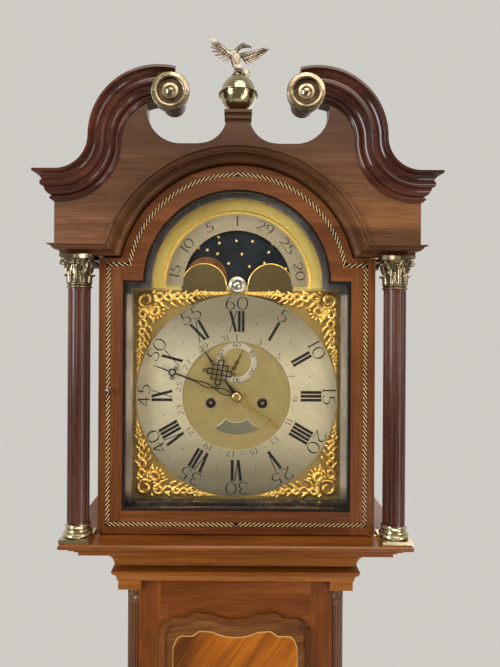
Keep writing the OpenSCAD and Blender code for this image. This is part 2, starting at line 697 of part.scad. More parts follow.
deck_profile = concat(arc(-40, deck_z - 61, 27, 180, 119, 7), [[-52.5, deck_z - 36], [-52.5, deck_z - 27],
    [-23, deck_z - 25], [-23, deck_z - 20.5], [-18, deck_z - 18], [-18, deck_z - 15], [-12, deck_z - 13.5],
    [-12, deck_z - 10.5], [-5, deck_z - 8.5], [-2, deck_z - 7.5], [0, deck_z - 5.5], [0, deck_z - 2],
    [-1.5, deck_z]]);

module hood_base_frame() color("peru")
    difference() {
        wrapped_moulding(deck_profile, deck_w, deck_b, 15.2);
        bar(-trunk_w - 3, trunk_w + 3, 0, trunk_b + 4, cove_z - 1, deck_z + 1);
        translate([hinge_x, back_y - door_b, deck_z - 6]) cylinder(h = 8, r = 2 + clear);
    }

module hood_sides() color("sienna") {
    both_sides() {
        difference() {
            bar(door_w - board, door_w, 15.2, door_b - door_t - 2, deck_z, cornice_z);
            bar(door_w - board - 1, door_w + 1, 62, 168, deck_z + 70, deck_z + 350);
        }
        bar(door_w, deck_w, 15.2, 22, deck_z, cornice_z);
        translate([column_x, back_y - 22, deck_z]) intersection() {
            cylinder(h = cornice_z - deck_z, r = 15);
            translate([-20, -20, 0]) cube([40, 20, 500]);
        }
    }
}

module hood_side_windows() color("lightcyan")
    both_sides() bar(door_w - board + 6, door_w - board + 8, 62, 168, deck_z + 70, deck_z + 350);

// Outline of the tympanum: the frieze, both scrolled horns and the finial's plinth
module tympanum_outline() {
    difference() {
        union() {
            translate([-frieze_w, cornice_z]) square([2 * frieze_w, swan_hi_z - cornice_z]);
            translate([-swan_small_x, swan_hi_z - 1]) square([2 * swan_small_x, swan_turn_z - swan_hi_z + 1]);
            translate([-30, swan_turn_z - 1]) square([60, 36]);
            both_sides() translate([swan_big_x, swan_turn_z]) circle(r = swan_big_r);
        }
        both_sides() translate([swan_small_x, swan_turn_z]) circle(r = swan_small_r);
        both_sides() translate([84, deck_z + 632]) circle(r = 49);
        both_sides() translate([57, deck_z + 624]) circle(r = 40.5);
        both_sides() translate([57, deck_z + 583]) square([27, 100]);
        both_sides() translate([16.5, deck_z + 624]) square([67.5, 100]);
        translate([0, arch_z]) circle(r = arch_in_r + 10.5);
        translate([-300, cornice_z - 1]) square([600, 9.2]);
    }
    both_sides() difference() {
        translate([swan_big_x, swan_turn_z]) circle(r = swan_big_r);
        translate([swan_big_x, swan_turn_z]) circle(r = swan_big_r - swan_band - 2);
        translate([0, deck_z + 400]) square([swan_big_x + 60, swan_turn_z - deck_z - 400]);
        translate([swan_big_x, swan_turn_z]) rotate(swan_end_angle) square([120, 120]);
    }
    both_sides() translate([boss_x, boss_z]) circle(r = 17);
    translate([-16.5, deck_z + 580]) square([33, 40]);
}

// The tympanum board, the frieze's sides, the roof boards and the arched ceiling
module hood_top() color("sienna") {
    facing(door_b + 3, frieze_b) tympanum_outline();
    difference() {
        hood_roof();
        translate([hinge_x, back_y - door_b, cornice_z - 1]) cylinder(h = 8, r = 2 + clear);
    }
    bar(-20, 20, 226, 268, plinth_top - 4, plinth_top);
    bar(-18, 18, 229, 263, plinth_top - 11, plinth_top - 4);
}

module hood_roof() {
    facing(22.1, door_b + 3) difference() {
        union() {
            translate([0, arch_z]) circle(r = 187);
            both_sides() {
                translate([frieze_w - 14, cornice_z]) square([14, swan_hi_z - 2 - cornice_z]);
                translate([door_w - 28, cornice_z]) square([frieze_w - door_w + 21, 8]);
                translate([100, swan_hi_z - 14]) square([frieze_w - 107, 12]);
            }
        }
        translate([0, arch_z]) circle(r = arch_in_r);
        translate([-door_w + 30, arch_z - 220]) square([2 * door_w - 60, cornice_z - arch_z + 220]);
        translate([-frieze_w, arch_z - 220]) square([2 * frieze_w, cornice_z - arch_z + 220]);
    }
    facing(15.2, 22) difference() {
        translate([-frieze_w, cornice_z]) square([2 * frieze_w, swan_hi_z - 2 - cornice_z]);
        translate([0, arch_z]) circle(r = arch_in_r);
    }
}

// Cornice profile as [share of its height, depth]
cornice_shares = concat([[0, door_b + 3], [0, door_b + 8]], [for (k = [0:6])
    [0.03 + 0.45 * sin(15 * k), door_b + 24 - 15 * cos(15 * k)]],
    [[0.5, door_b + 24], [0.5, door_b + 26], [0.62, door_b + 26], [0.62, door_b + 28]],
    [for (k = [0:4]) [0.63 + 0.22 * sin(22.5 * k), door_b + 31 - 3 * cos(22.5 * k)]],
    [[0.88, door_b + 31], [0.88, cornice_b], [1, cornice_b]]);

// The space that the arch moulding takes from the straight cornice, grown by g
module cornice_mitre_cut(g)
    polygon([[176 + g, cornice_z - 1], [192.2 + g, cornice_top + 0.05], [192.2 + g, cornice_top + 200],
        [-192.2 - g, cornice_top + 200], [-192.2 - g, cornice_top + 0.05], [-176 - g, cornice_z - 1]]);

module cornice_moulding() color("sienna") {
    h = cornice_top - cornice_z;
    difference() {
        wrapped_moulding([for (q = cornice_shares) [q[1] - frieze_b, cornice_z + q[0] * h]],
            frieze_w, frieze_b, 15.2);
        bar(-frieze_w, frieze_w, 14, door_b + 3, cornice_z - 1, cornice_top + 1);
        bar(-frieze_w, frieze_w, 14, frieze_b, cornice_z + 8.2, cornice_top + 1);
        facing(0, 320) cornice_mitre_cut(0.05);
    }
    intersection() {
        turned_fb(0, arch_z, concat([for (q = cornice_shares) [arch_in_r + q[0] * (arch_out_r - arch_in_r), q[1]]],
            [[arch_out_r, frieze_b], [arch_in_r + 10.5, frieze_b], [arch_in_r + 10.5, door_b + 3]]));
        facing(0, 320) cornice_mitre_cut(0);
    }
}

// Swan-neck profile: [distance in from the outer edge, projection]
swan_profile = concat([[0, 24], [3.5, 24], [4.5, 21.5]], arc(15, 24, 10.5, 195, 262, 6),
    [[14.5, 15.5], [17, 15.6]], arc(19, 12.6, 3, 110, 10, 5), [[22.4, 11.2]],
    arc(22.4, -0.4, 11.6, 88, 24, 7), [[34, 2.6], [34.6, 3.8]], arc(37, 3, 2.4, 160, 10, 5), [[41, 2]]);

module swan_band_outline(outward)
    polygon(concat([[outward ? swan_big_r : swan_small_r, 0]],
        [for (q = swan_profile) [outward ? swan_big_r - q[0] : swan_small_r + q[0], q[1]]],
        [[outward ? swan_big_r - swan_band : swan_small_r + swan_band, 0]]));

module swan_necks() color("brown")
    both_sides() {
        translate([swan_big_x, back_y - frieze_b, swan_turn_z]) rotate([90, 0, 0])
            rotate_extrude(angle = swan_end_angle) swan_band_outline(true);
        translate([swan_small_x, back_y - frieze_b, swan_turn_z]) rotate([90, 0, 0]) rotate([0, 0, 180])
            rotate_extrude(angle = 90) swan_band_outline(false);
        difference() {
            wrapped_moulding([for (q = reversed(swan_profile)) [q[1], swan_hi_z - q[0]]], frieze_w, frieze_b, 15.2);
            bar(-400, swan_small_x, 0, 400, swan_lo_z - 5, swan_hi_z + 5);
            bar(0, frieze_w, 0, frieze_b, swan_lo_z - 5, swan_hi_z + 5);
        }
        rod_fb(boss_x, boss_z, 17, frieze_b, frieze_b + 19);
        rod_fb(boss_x, boss_z, 26.5, frieze_b + 19, frieze_b + 26);
    }

module rosettes() color("goldenrod")
    both_sides() turned_fb(boss_x, boss_z, concat([[0, frieze_b + 26], [27.4, frieze_b + 26], [27.4, frieze_b + 27.5]],
        arc(22.5, frieze_b + 27.5, 4.9, 0, 110, 6), [[18, frieze_b + 31]], arc(15.5, frieze_b + 30, 2.4, 60, 150, 5),
        [[12.6, frieze_b + 29.2]], arc(0, frieze_b + 24.6, 11.4, 26, 90, 8)));

module column_shaft(lift, h)
    translate([0, 0, lift]) difference() {
        cylinder(h = h, r = 16.2);
        for (a = [0:22.5:337.5]) rotate([0, 0, a]) translate([16.9, 0, 4]) cylinder(h = h - 8, r = 2.2, $fn = 24);
    }

module hood_columns() color("brown")
    both_sides() translate([column_x, back_y - 240, 0]) column_shaft(deck_z + 24, 348);

module column_capitals() color("goldenrod")
    both_sides() translate([column_x, back_y - 240, deck_z + 372]) {
        rotate_extrude() polygon([[0, 0], [16.6, 0], [17.8, 1.2], [17.8, 2.8], [16.8, 4], [17.6, 5.2], [17.6, 6.8],
            [16.4, 8], [17.4, 14], [21.5, 20.5], [18.2, 21.2], [19.5, 29], [24, 34], [21, 34.8], [21.4, 40],
            [23, 44], [0, 44]]);
        translate([0, 0, 44]) linear_extrude(4.9) difference() {
            square(49, center = true);
            for (a = [0:90:270]) rotate(a) translate([59, 0]) circle(r = 40);
        }
    }

module column_bases() color("goldenrod")
    both_sides() translate([column_x, back_y - 240, deck_z]) {
        translate([-22, -22, 0]) cube([44, 44, 6]);
        rotate_extrude() polygon(concat([[0, 6], [18, 6]], arc(18, 9.5, 3.4, -90, 90, 6), [[17, 13.2]],
            arc(19, 16, 2.6, 250, 110, 4), arc(16.6, 20.6, 2, -90, 90, 5), [[16.4, 23], [16.2, 24], [0, 24]]));
    }

// Dark frame behind the door that closes the gap round the dial
module dial_mask() color("dimgray")
    difference() {
        facing(196, 209) break_arch(191.9, 172, deck_z, shoulder_z, arch_z);
        facing(190, 215) break_arch(163.5, 133, dial_bottom + 2, dial_shoulder - 1, moon_z);
    }

module finial_ball() color("goldenrod")
    translate([0, back_y - finial_b, plinth_top]) rotate_extrude() polygon(concat([[0, 0], [5, 0], [5, 1.5], [2.5, 3],
        [2.5, 4], [8, 5.2], [9.3, 6.2]], arc(0, 31.5, 26.5, -68, -6, 8), [[29.2, 29], [29.2, 30.6], [26.2, 31.6]],
        arc(0, 32, 25.6, 2, 76, 9), [[5.5, 57], [0, 57]]));

// A spread eagle on the ball: plain body and wings
module finial_eagle() color("goldenrod")
    translate([0, back_y - finial_b, plinth_top + 57]) {
        hull() {
            translate([-2, 0, 12]) sphere(r = 6, $fn = 24);
            translate([-7, 0, 26]) sphere(r = 7, $fn = 24);
            translate([4, 0, 4]) sphere(r = 3, $fn = 24);
        }
        hull() {
            translate([-5, 0, 32]) sphere(r = 5, $fn = 24);
            translate([7, 0, 44]) sphere(r = 4, $fn = 24);
            translate([16, 0, 43]) sphere(r = 1.6, $fn = 24);
        }
        hull() {
            translate([-9, 0, 28]) sphere(r = 4, $fn = 24);
            translate([-22, 0, 42]) sphere(r = 3, $fn = 24);
            translate([-36, 0, 59]) sphere(r = 1.5, $fn = 24);
            translate([-14, 0, 18]) sphere(r = 1.5, $fn = 24);
        }
        hull() {
            translate([2, 0, 22]) sphere(r = 4, $fn = 24);
            translate([24, 0, 36]) sphere(r = 3, $fn = 24);
            translate([41, 0, 41]) sphere(r = 1.5, $fn = 24);
            translate([8, 0, 12]) sphere(r = 1.5, $fn = 24);
        }
        for (x = [-6, 10]) hull() {
            translate([x, 0, 1.5]) sphere(r = 2.6, $fn = 24);
            translate([2, 0, 10]) sphere(r = 2.4, $fn = 24);
        }
    }

// ---------- hood door ----------

module sight_outline(g)
    break_arch(door_w - stile_w + g, door_arch_r - stile_w + g, door_bottom + 34 - g, deck_z + 385 + g, arch_z);

module hood_door_frame() color("peru")
    difference() {
        facing(door_b - door_t, door_b) difference() {
            break_arch(door_w, door_arch_r, door_bottom, shoulder_z, arch_z);
            sight_outline(0);
        }
        facing(door_b - door_t - 1, door_b - 12) sight_outline(6);
    }

module hood_door_glass() color("lightcyan")
    facing(door_b - 15, door_b - 12.1) sight_outline(5.6);

// Dark bead that frames the glass
module hood_door_bead() color("black")
    facing(door_b - 12, door_b - 3) difference() {
        sight_outline(-0.1);
        sight_outline(-3.6);
    }

module hood_door_knob() color("goldenrod")
    turned_fb(-door_w + 16, deck_z + 220, concat([[0, door_b], [4.6, door_b], [4.6, door_b + 1.2], [2.2, door_b + 2],
        [2.2, door_b + 6]], arc(0, door_b + 10, 4.4, -60, 90, 8)));

// Strap pivots let into the door's top and bottom edges at its right-hand corner
module hood_door_pivots() color("goldenrod") {
    for (z = [door_bottom - 1.2, shoulder_z]) {
        bar(door_w - 34, door_w, door_b - 14, door_b - 2, z, z + 1.2);
        bar(door_w - 10, hinge_x, door_b - 2, door_b + 2, z, z + 1.2);
    }
    translate([hinge_x, back_y - door_b, deck_z - 5]) cylinder(h = door_bottom - deck_z + 5, r = 2);
    translate([hinge_x, back_y - door_b, shoulder_z]) cylinder(h = 8, r = 2);
}

// ---------- pieces ----------

backboard();
base_carcass();
bracket_feet();
base_moulding();
trunk_cheeks();
trunk_front_frame();
quarter_columns();
trunk_top_moulding();
trunk_hinges();
seatboard();
movement_frame();
dial_plate();
chapter_ring();
seconds_ring();
lunar_ring();
dial_plaque();
spandrels();
moon_boss();
pendulum_cock();
bell();
hood_base_frame();
hood_sides();
hood_side_windows();
hood_top();
cornice_moulding();
swan_necks();
rosettes();
hood_columns();
column_capitals();
column_bases();
dial_mask();
finial_ball();
finial_eagle();
hood_door_frame();
hood_door_glass();
hood_door_bead();
hood_door_knob();
hood_door_pivots();
trunk_door();
trunk_door_lip();
trunk_door_lock();
minute_hand();
centre_wheel();
hour_hand();
hour_wheel();
calendar_hand();
minute_wheel();
third_wheel();
escape_wheel();
seconds_hand();
going_barrel();
strike_barrel();
anchor();
pendulum();
bell_hammer();
moon_disc();
going_weight();
strike_weight();
going_line();
strike_line();
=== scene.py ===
import math
import random

import bpy
import bmesh
from mathutils import Matrix, Vector


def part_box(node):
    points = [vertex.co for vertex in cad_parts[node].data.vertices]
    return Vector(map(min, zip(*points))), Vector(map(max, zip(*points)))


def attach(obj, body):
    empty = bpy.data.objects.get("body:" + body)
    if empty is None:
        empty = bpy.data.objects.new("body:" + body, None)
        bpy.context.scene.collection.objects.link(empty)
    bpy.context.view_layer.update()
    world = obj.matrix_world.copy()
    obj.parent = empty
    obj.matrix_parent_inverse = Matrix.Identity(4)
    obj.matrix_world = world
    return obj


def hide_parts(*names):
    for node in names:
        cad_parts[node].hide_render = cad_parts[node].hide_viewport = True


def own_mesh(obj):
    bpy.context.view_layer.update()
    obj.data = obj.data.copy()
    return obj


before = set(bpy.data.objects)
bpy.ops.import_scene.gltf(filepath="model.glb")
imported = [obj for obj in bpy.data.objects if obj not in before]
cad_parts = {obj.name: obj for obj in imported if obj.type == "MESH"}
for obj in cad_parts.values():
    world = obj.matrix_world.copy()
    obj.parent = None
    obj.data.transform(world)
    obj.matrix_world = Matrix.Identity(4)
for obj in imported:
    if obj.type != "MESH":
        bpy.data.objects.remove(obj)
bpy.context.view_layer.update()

# ---------- places read from the frame, in millimetres; b is depth forward of the backboard's back ----------

MM = 0.001
back_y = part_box("backboard")[1].y / MM


def span(node):
    """A node's box as (x0, x1, b0, b1, z0, z1) in millimetres."""
    lo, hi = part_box(node)
    return (lo.x / MM, hi.x / MM, back_y - hi.y / MM, back_y - lo.y / MM, lo.z / MM, hi.z / MM)


def middle(node, first):
    """Halfway across a node's span: first is 0 for x, 2 for depth and 4 for height."""
    box = span(node)
    return (box[first] + box[first + 1]) / 2


column_rise = 24            # the foot of the hood's columns above the deck
moon_boss_r = 12.7
moon_boss_drop = 1          # the boss's middle below the arch's
rosette_r = 27.4
abacus_half = 24.5          # half the width of a capital's top

deck_z = span("hood_columns")[4] - column_rise
dial_z = middle("chapter_ring", 4)
dial_x0, dial_x1, _, ring_b, _, _ = span("chapter_ring")
chapter_r = (dial_x1 - dial_x0) / 2
dial_w = span("dial_plate")[1]
dial_lo = span("dial_plate")[4]
dial_b = ring_b - 2
moon_z = span("moon_boss")[5] - moon_boss_r + moon_boss_drop
arch_r = span("dial_plate")[5] - moon_z
hump_x, hump_z = 52.8, moon_z - 2.5
seconds_z = middle("seconds_ring", 4)
winding_x, winding_z = middle("going_barrel", 0), middle("going_barrel", 4)
door_w = span("hood_door_frame")[1]
door_b, door_lo, door_hi = span("hood_door_frame")[3:6]
door_arch_r = 178
arch_z = door_hi - door_arch_r
boss_b = span("rosettes")[2]
boss_x, boss_z = span("rosettes")[1] - rosette_r, middle("rosettes", 4)
column_x = span("column_capitals")[1] - abacus_half
column_b = 240
ball_top = span("finial_ball")[5]
finial_b = middle("finial_ball", 2)
base_w = span("base_carcass")[1]
base_b = span("base_carcass")[3]

CRISP = 5        # the bend in degrees above which the edges of inlay and engraving stay sharp


def at(x, b, z):
    """A point in the row frame, in metres, from millimetres."""
    return Vector((x * MM, (back_y - b) * MM, z * MM))


def polar(radius, degrees):
    """Right and up for an angle measured clockwise from twelve o'clock."""
    a = math.radians(degrees)
    return radius * math.sin(a), radius * math.cos(a)


def arc(cx, cy, rx, ry, start, end, steps=12):
    """Points along an ellipse, anticlockwise from the right when end is above start."""
    turns = [math.radians(start + (end - start) * i / steps) for i in range(steps + 1)]
    return [(cx + rx * math.cos(t), cy + ry * math.sin(t)) for t in turns]


def clockwise(cx, cz, radius, start, end, steps):
    """Points along a circle from one angle to another, both measured clockwise from twelve o'clock."""
    turns = [polar(radius, start + (end - start) * i / steps) for i in range(steps + 1)]
    return [(cx + x, cz + z) for x, z in turns]


def shares(count):
    """Even steps from 0 to 1."""
    return [i / (count - 1) for i in range(count)]


def turned_at(cx, cz, b):
    """Gives the place of (radius, degrees, height) on a front-to-back axis at cx, cz, from depth b."""
    def place(radius, degrees, height):
        x, z = polar(radius, degrees)
        return at(cx + x, b + height, cz + z)
    return place


# ---------- mesh making ----------


class Shape:
    """Collects closed solids in one mesh; points are Vectors in metres."""

    def __init__(self):
        self.points = []
        self.faces = []

    def add(self, points, faces):
        first = len(self.points)
        self.points += points
        self.faces += [tuple(first + i for i in f) for f in faces]

    def between(self, low, high):
        """A solid between two rings that have the same number of points."""
        n = len(low)
        sides = [(i, (i + 1) % n, n + (i + 1) % n, n + i) for i in range(n)]
        self.add(low + high, sides + [tuple(range(n))[::-1], tuple(range(n, 2 * n))])

    def prism(self, outline, b0, b1):
        """A flat outline of (x, z) points between depths b0 and b1."""
        self.between([at(x, b0, z) for x, z in outline], [at(x, b1, z) for x, z in outline])

    def strip(self, left, right, b0, b1):
        """A band between two rows of (x, z) points, from depth b0 to b1."""
        n = len(left)
        points = [at(x, b, z) for b in (b0, b1) for row in (left, right) for x, z in row]
        faces = [(0, n, 3 * n, 2 * n), (n - 1, 3 * n - 1, 4 * n - 1, 2 * n - 1)]
        for i in range(n - 1):
            faces += [(i, i + 1, n + i + 1, n + i), (2 * n + i, 3 * n + i, 3 * n + i + 1, 2 * n + i + 1),
                      (i, 2 * n + i, 2 * n + i + 1, i + 1),
                      (n + i, n + i + 1, 3 * n + i + 1, 3 * n + i)]
        self.add(points, faces)

    def loop(self, outer, inner, b0, b1):
        """A closed band between two outlines that have the same number of points."""
        n = len(outer)
        points = [at(x, b, z) for b in (b0, b1) for row in (outer, inner) for x, z in row]
        faces = []
        for i in range(n):
            j = (i + 1) % n
            faces += [(i, j, n + j, n + i), (2 * n + i, 3 * n + i, 3 * n + j, 2 * n + j),
                      (i, 2 * n + i, 2 * n + j, j), (n + i, n + j, 3 * n + j, 3 * n + i)]
        self.add(points, faces)

    def tube(self, path, radii, facing=Vector((0, -1, 0)), sides=8):
        """A round bar along a path of Vectors, with a radius in mm at each."""
        n = len(path)
        points = []
        for i, p in enumerate(path):
            ahead = (path[min(i + 1, n - 1)] - path[max(i - 1, 0)]).normalized()
            side = ahead.cross(facing)
            side = side.normalized() if side.length > 1e-6 else Vector((1, 0, 0))
            lift = side.cross(ahead).normalized()
            for k in range(sides):
                t = 2 * math.pi * k / sides
                points.append(p + (side * math.cos(t) + lift * math.sin(t)) * (radii[i] * MM))
        faces = [(a + k, a + (k + 1) % sides, a + sides + (k + 1) % sides, a + sides + k)
                 for a in range(0, (n - 1) * sides, sides) for k in range(sides)]
        faces += [tuple(range(sides))[::-1], tuple(range((n - 1) * sides, n * sides))]
        self.add(points, faces)

    def wire(self, points, b, radius):
        """A round wire of one radius along (x, z) points at depth b."""
        self.tube([at(x, b, z) for x, z in points], [radius] * len(points))

    def revolve(self, outline, place, steps=48):
        """A closed outline of (radius, height) turned round, where place(radius, degrees, height) puts it."""
        m = len(outline)
        points = [place(r, 360 * s / steps, h) for s in range(steps) for r, h in outline]
        faces = [(s * m + k, s * m + (k + 1) % m, (s + 1) % steps * m + (k + 1) % m, (s + 1) % steps * m + k)
                 for s in range(steps) for k in range(m)]
        self.add(points, faces)

    def sheet(self, front, back):
        """A curved solid between two grids of Vectors with the same rows and columns."""
        rows, cols = len(front), len(front[0])
        total = rows * cols
        points = [p for row in front for p in row] + [p for row in back for p in row]
        faces = []
        for i in range(rows - 1):
            for j in range(cols - 1):
                a = i * cols + j
                faces += [(a, a + 1, a + cols + 1, a + cols),
                          (total + a, total + a + cols, total + a + cols + 1, total + a + 1)]
        rim = list(range(cols)) + [i * cols + cols - 1 for i in range(1, rows)]
        rim += [(rows - 1) * cols + j for j in range(cols - 2, -1, -1)]
        rim += [i * cols for i in range(rows - 2, 0, -1)]
        for i, a in enumerate(rim):
            c = rim[(i + 1) % len(rim)]
            faces.append((a, total + a, total + c, c))
        self.add(points, faces)

    def ball(self, centre, radius, rings=7, sides=10):
        """A small ball of four-sided faces."""
        points = [centre + Vector((0, 0, radius * MM))]
        for i in range(1, rings):
            h = math.pi * i / rings
            for k in range(sides):
                t = 2 * math.pi * k / sides
                ring = math.sin(h) * radius * MM
                height = math.cos(h) * radius * MM
                points.append(centre + Vector((ring * math.cos(t), ring * math.sin(t), height)))
        points.append(centre - Vector((0, 0, radius * MM)))
        last = len(points) - 1
        faces = [(0, 1 + k, 1 + (k + 1) % sides) for k in range(sides)]
        for i in range(rings - 2):
            a = 1 + i * sides
            faces += [(a + k, a + sides + k, a + sides + (k + 1) % sides, a + (k + 1) % sides)
                      for k in range(sides)]
        a = 1 + (rings - 2) * sides
        faces += [(last, a + (k + 1) % sides, a + k) for k in range(sides)]
        self.add(points, faces)

    def piece(self, name, finish, body, slot, smooth=35, replaces=()):
        """Makes the object, finished as MATERIALS says, with its edges sharp above smooth degrees."""
        mesh = bpy.data.meshes.new(name)
        mesh.from_pydata([tuple(p) for p in self.points], [], self.faces)
        work = bmesh.new()
        work.from_mesh(mesh)
        bmesh.ops.recalc_face_normals(work, faces=work.faces)
        limit = math.radians(smooth)
        for face in work.faces:
            face.smooth = True
        for edge in work.edges:
            edge.smooth = len(edge.link_faces) == 2 and edge.calc_face_angle(0) < limit
        work.to_mesh(mesh)
        work.free()
        mesh.materials.append(MATERIALS[finish])
        made = bpy.data.objects.new(name, mesh)
        bpy.context.scene.collection.objects.link(made)
        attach(made, body)
        if replaces:
            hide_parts(*replaces)
        return made




# ---------- shader making ----------


class Shader:
    """A Principled material and short calls for its pattern nodes, whose coordinates are in metres."""

    def __init__(self, name, metallic=0.0, roughness=0.4, coat=0.0, coat_roughness=0.08, specular=0.5):
        self.material = bpy.data.materials.new(name)
        self.material.use_nodes = True
        self.tree = self.material.node_tree
        self.surface = next(n for n in self.tree.nodes if n.type == "BSDF_PRINCIPLED")
        settings = {"Metallic": metallic, "Roughness": roughness, "Coat Weight": coat,
                    "Coat Roughness": coat_roughness, "Specular IOR Level": specular}
        for socket, value in settings.items():
            self.surface.inputs[socket].default_value = value

    def node(self, kind, **settings):
        made = self.tree.nodes.new(kind)
        for key, value in settings.items():
            setattr(made, key, value)
        return made

    def feed(self, socket, value):
        """Links a socket, or sets its plain value."""
        if isinstance(value, bpy.types.NodeSocket):
            self.tree.links.new(value, socket)
        elif isinstance(value, (tuple, list)) and len(value) == 3 and socket.type == "RGBA":
            socket.default_value = (*value, 1)
        else:
            socket.default_value = value

    def coords(self, scale=(1, 1, 1), rotation=(0, 0, 0), move=(0, 0, 0)):
        vector = self.node("ShaderNodeTexCoord").outputs["Object"]
        if any(rotation):
            turned = self.node("ShaderNodeMapping")
            self.feed(turned.inputs["Vector"], vector)
            turned.inputs["Rotation"].default_value = [math.radians(r) for r in rotation]
            vector = turned.outputs["Vector"]
        mapping = self.node("ShaderNodeMapping")
        self.feed(mapping.inputs["Vector"], vector)
        mapping.inputs["Scale"].default_value = scale
        mapping.inputs["Location"].default_value = move
        return mapping.outputs["Vector"]

    def texture(self, kind, vector, values, output="Fac", **settings):
        """A pattern node with its plain values, named as its sockets are."""
        made = self.node("ShaderNodeTex" + kind, **settings)
        self.feed(made.inputs["Vector"], vector)
        for socket, value in values.items():
            made.inputs[socket].default_value = value
        return made.outputs[output]

    def noise(self, vector, scale, detail=4.0, roughness=0.55, distortion=0.0):
        return self.texture("Noise", vector, {"Scale": scale, "Detail": detail, "Roughness": roughness,
                                              "Distortion": distortion})

    def wave(self, vector, scale, distortion, detail, direction="X"):
        return self.texture("Wave", vector, {"Scale": scale, "Distortion": distortion, "Detail": detail},
                            bands_direction=direction)

    def cells(self, vector, scale):
        return self.texture("Voronoi", vector, {"Scale": scale}, "Distance")

    def math(self, operation, a, b=0.0, c=0.0):
        made = self.node("ShaderNodeMath", operation=operation)
        for socket, value in zip(made.inputs, (a, b, c)):
            self.feed(socket, value)
        return made.outputs[0]

    def ramp(self, fac, stops):
        made = self.node("ShaderNodeValToRGB")
        self.feed(made.inputs["Fac"], fac)
        elements = made.color_ramp.elements
        while len(elements) < len(stops):
            elements.new(0.5)
        for element, (position, colour) in zip(elements, stops):
            element.position = position
            element.color = (*colour, 1)
        return made.outputs["Color"]

    def mix(self, fac, a, b, mode="MIX"):
        made = self.node("ShaderNodeMix", data_type="RGBA", blend_type=mode)
        for name, value in (("Factor", fac), ("A", a), ("B", b)):
            socket = [s for s in made.inputs if s.name == name and s.enabled][0]
            self.feed(socket, value)
        return [s for s in made.outputs if s.enabled][0]

    def spread(self, fac, low, high, start=0.25, end=0.75):
        """Maps a 0 to 1 pattern on to low..high."""
        made = self.node("ShaderNodeMapRange")
        for socket, value in (("Value", fac), ("From Min", start), ("From Max", end), ("To Min", low),
                              ("To Max", high)):
            self.feed(made.inputs[socket], value)
        return made.outputs[0]

    def axis(self, name):
        parts = self.node("ShaderNodeSeparateXYZ")
        self.feed(parts.inputs[0], self.node("ShaderNodeTexCoord").outputs["Object"])
        return parts.outputs[name]

    def distance(self, x, z):
        """Distance in metres from a front-to-back line through x, z, given in mm."""
        dx = self.math("SUBTRACT", self.axis("X"), x * MM)
        dz = self.math("SUBTRACT", self.axis("Z"), z * MM)
        squares = self.math("MULTIPLY", dx, dx), self.math("MULTIPLY", dz, dz)
        return self.math("SQRT", self.math("ADD", *squares))

    def inside(self, x, z, radius, soft=0.4):
        """1 within radius mm of a front-to-back line, 0 outside."""
        return self.spread(self.distance(x, z), 1.0, 0.0, (radius - soft) * MM, (radius + soft) * MM)

    def bump(self, height, strength=0.2, distance=0.0005):
        made = self.node("ShaderNodeBump")
        made.inputs["Strength"].default_value = strength
        made.inputs["Distance"].default_value = distance
        self.feed(made.inputs["Height"], height)
        self.feed(self.surface.inputs["Normal"], made.outputs["Normal"])

    def colour(self, value):
        self.feed(self.surface.inputs["Base Color"], value)

    def rough(self, value):
        self.feed(self.surface.inputs["Roughness"], value)


GRAIN = {"x": (0.05, 1, 1), "z": (1, 1, 0.05)}        # the pattern's scale, stretched along the grain


def grain_value(s, direction, turn=(0, 0, 0), stripe=38.0, weights=(0.42, 0.33, 0.25)):
    """Long stripes, broad figure and fine pores that run along one direction, as a 0 to 1 pattern."""
    along = s.coords(GRAIN[direction], turn)
    loose = s.coords(tuple(max(a, 0.25) for a in GRAIN[direction]), turn, (3.1, 1.7, 0.4))
    stripes = s.noise(along, stripe, 5, 0.55, 0.7)
    figure = s.noise(loose, 9.0, 3, 0.5, 0.9)
    pores = s.noise(along, 520.0, 3, 0.6)
    total = s.math("MULTIPLY", stripes, weights[0])
    total = s.math("MULTIPLY_ADD", figure, weights[1], total)
    return s.math("MULTIPLY_ADD", pores, weights[2], total), pores


def wood(name, dark, middle, light, grain="z", framed=None, gloss=0.3, coat=0.3, stripe=38.0,
         turn=(0, 0, 0), painted_shade=None):
    """Polished mahogany or oak. framed is a half width in mm past which the grain stands upright; the shade
    setting (low, high, share) is a painted shade that darkens the wood by that share between two heights in
    mm."""
    s = Shader(name, coat=coat, coat_roughness=0.12, specular=0.25)
    value, pores = grain_value(s, grain, turn, stripe)
    if framed:
        upright, upright_pores = grain_value(s, "z", (0, 0, 0), stripe)
        past = s.math("GREATER_THAN", s.math("ABSOLUTE", s.axis("X")), framed * MM)
        value = s.math("ADD", s.math("MULTIPLY", upright, past),
                       s.math("MULTIPLY", value, s.math("SUBTRACT", 1.0, past)))
        pores = s.mix(past, pores, upright_pores)
    tone = s.ramp(value, [(0.36, dark), (0.5, middle), (0.63, light)])
    # painted shade: darker between the two heights
    if painted_shade:
        low, high, share = painted_shade
        tone = s.mix(s.spread(s.axis("Z"), 0.0, share, low * MM, high * MM), tone, (0.02, 0.004, 0.001))
    s.colour(tone)
    s.rough(s.spread(pores, gloss - 0.08, gloss + 0.12))
    s.bump(pores, 0.12, 0.0004)
    return s.material


def metal(name, bright, dull, gloss=0.25, patina=28.0, share=(0.42, 0.66), bump=0.06, fine=420.0):
    """Cast or turned metal with tarnish in patches and a fine uneven polish."""
    s = Shader(name, metallic=1.0)
    patches = s.noise(s.coords(), patina, 5, 0.6, 0.6)
    grit = s.noise(s.coords(move=(2, 5, 1)), fine, 3, 0.6)
    s.colour(s.mix(s.spread(patches, 0.0, 1.0, *share), bright, dull))
    s.rough(s.math("ADD", s.spread(patches, gloss - 0.06, gloss + 0.14), s.spread(grit, -0.04, 0.05)))
    s.bump(grit, bump, 0.0003)
    return s.material


# ---------- finishes ----------

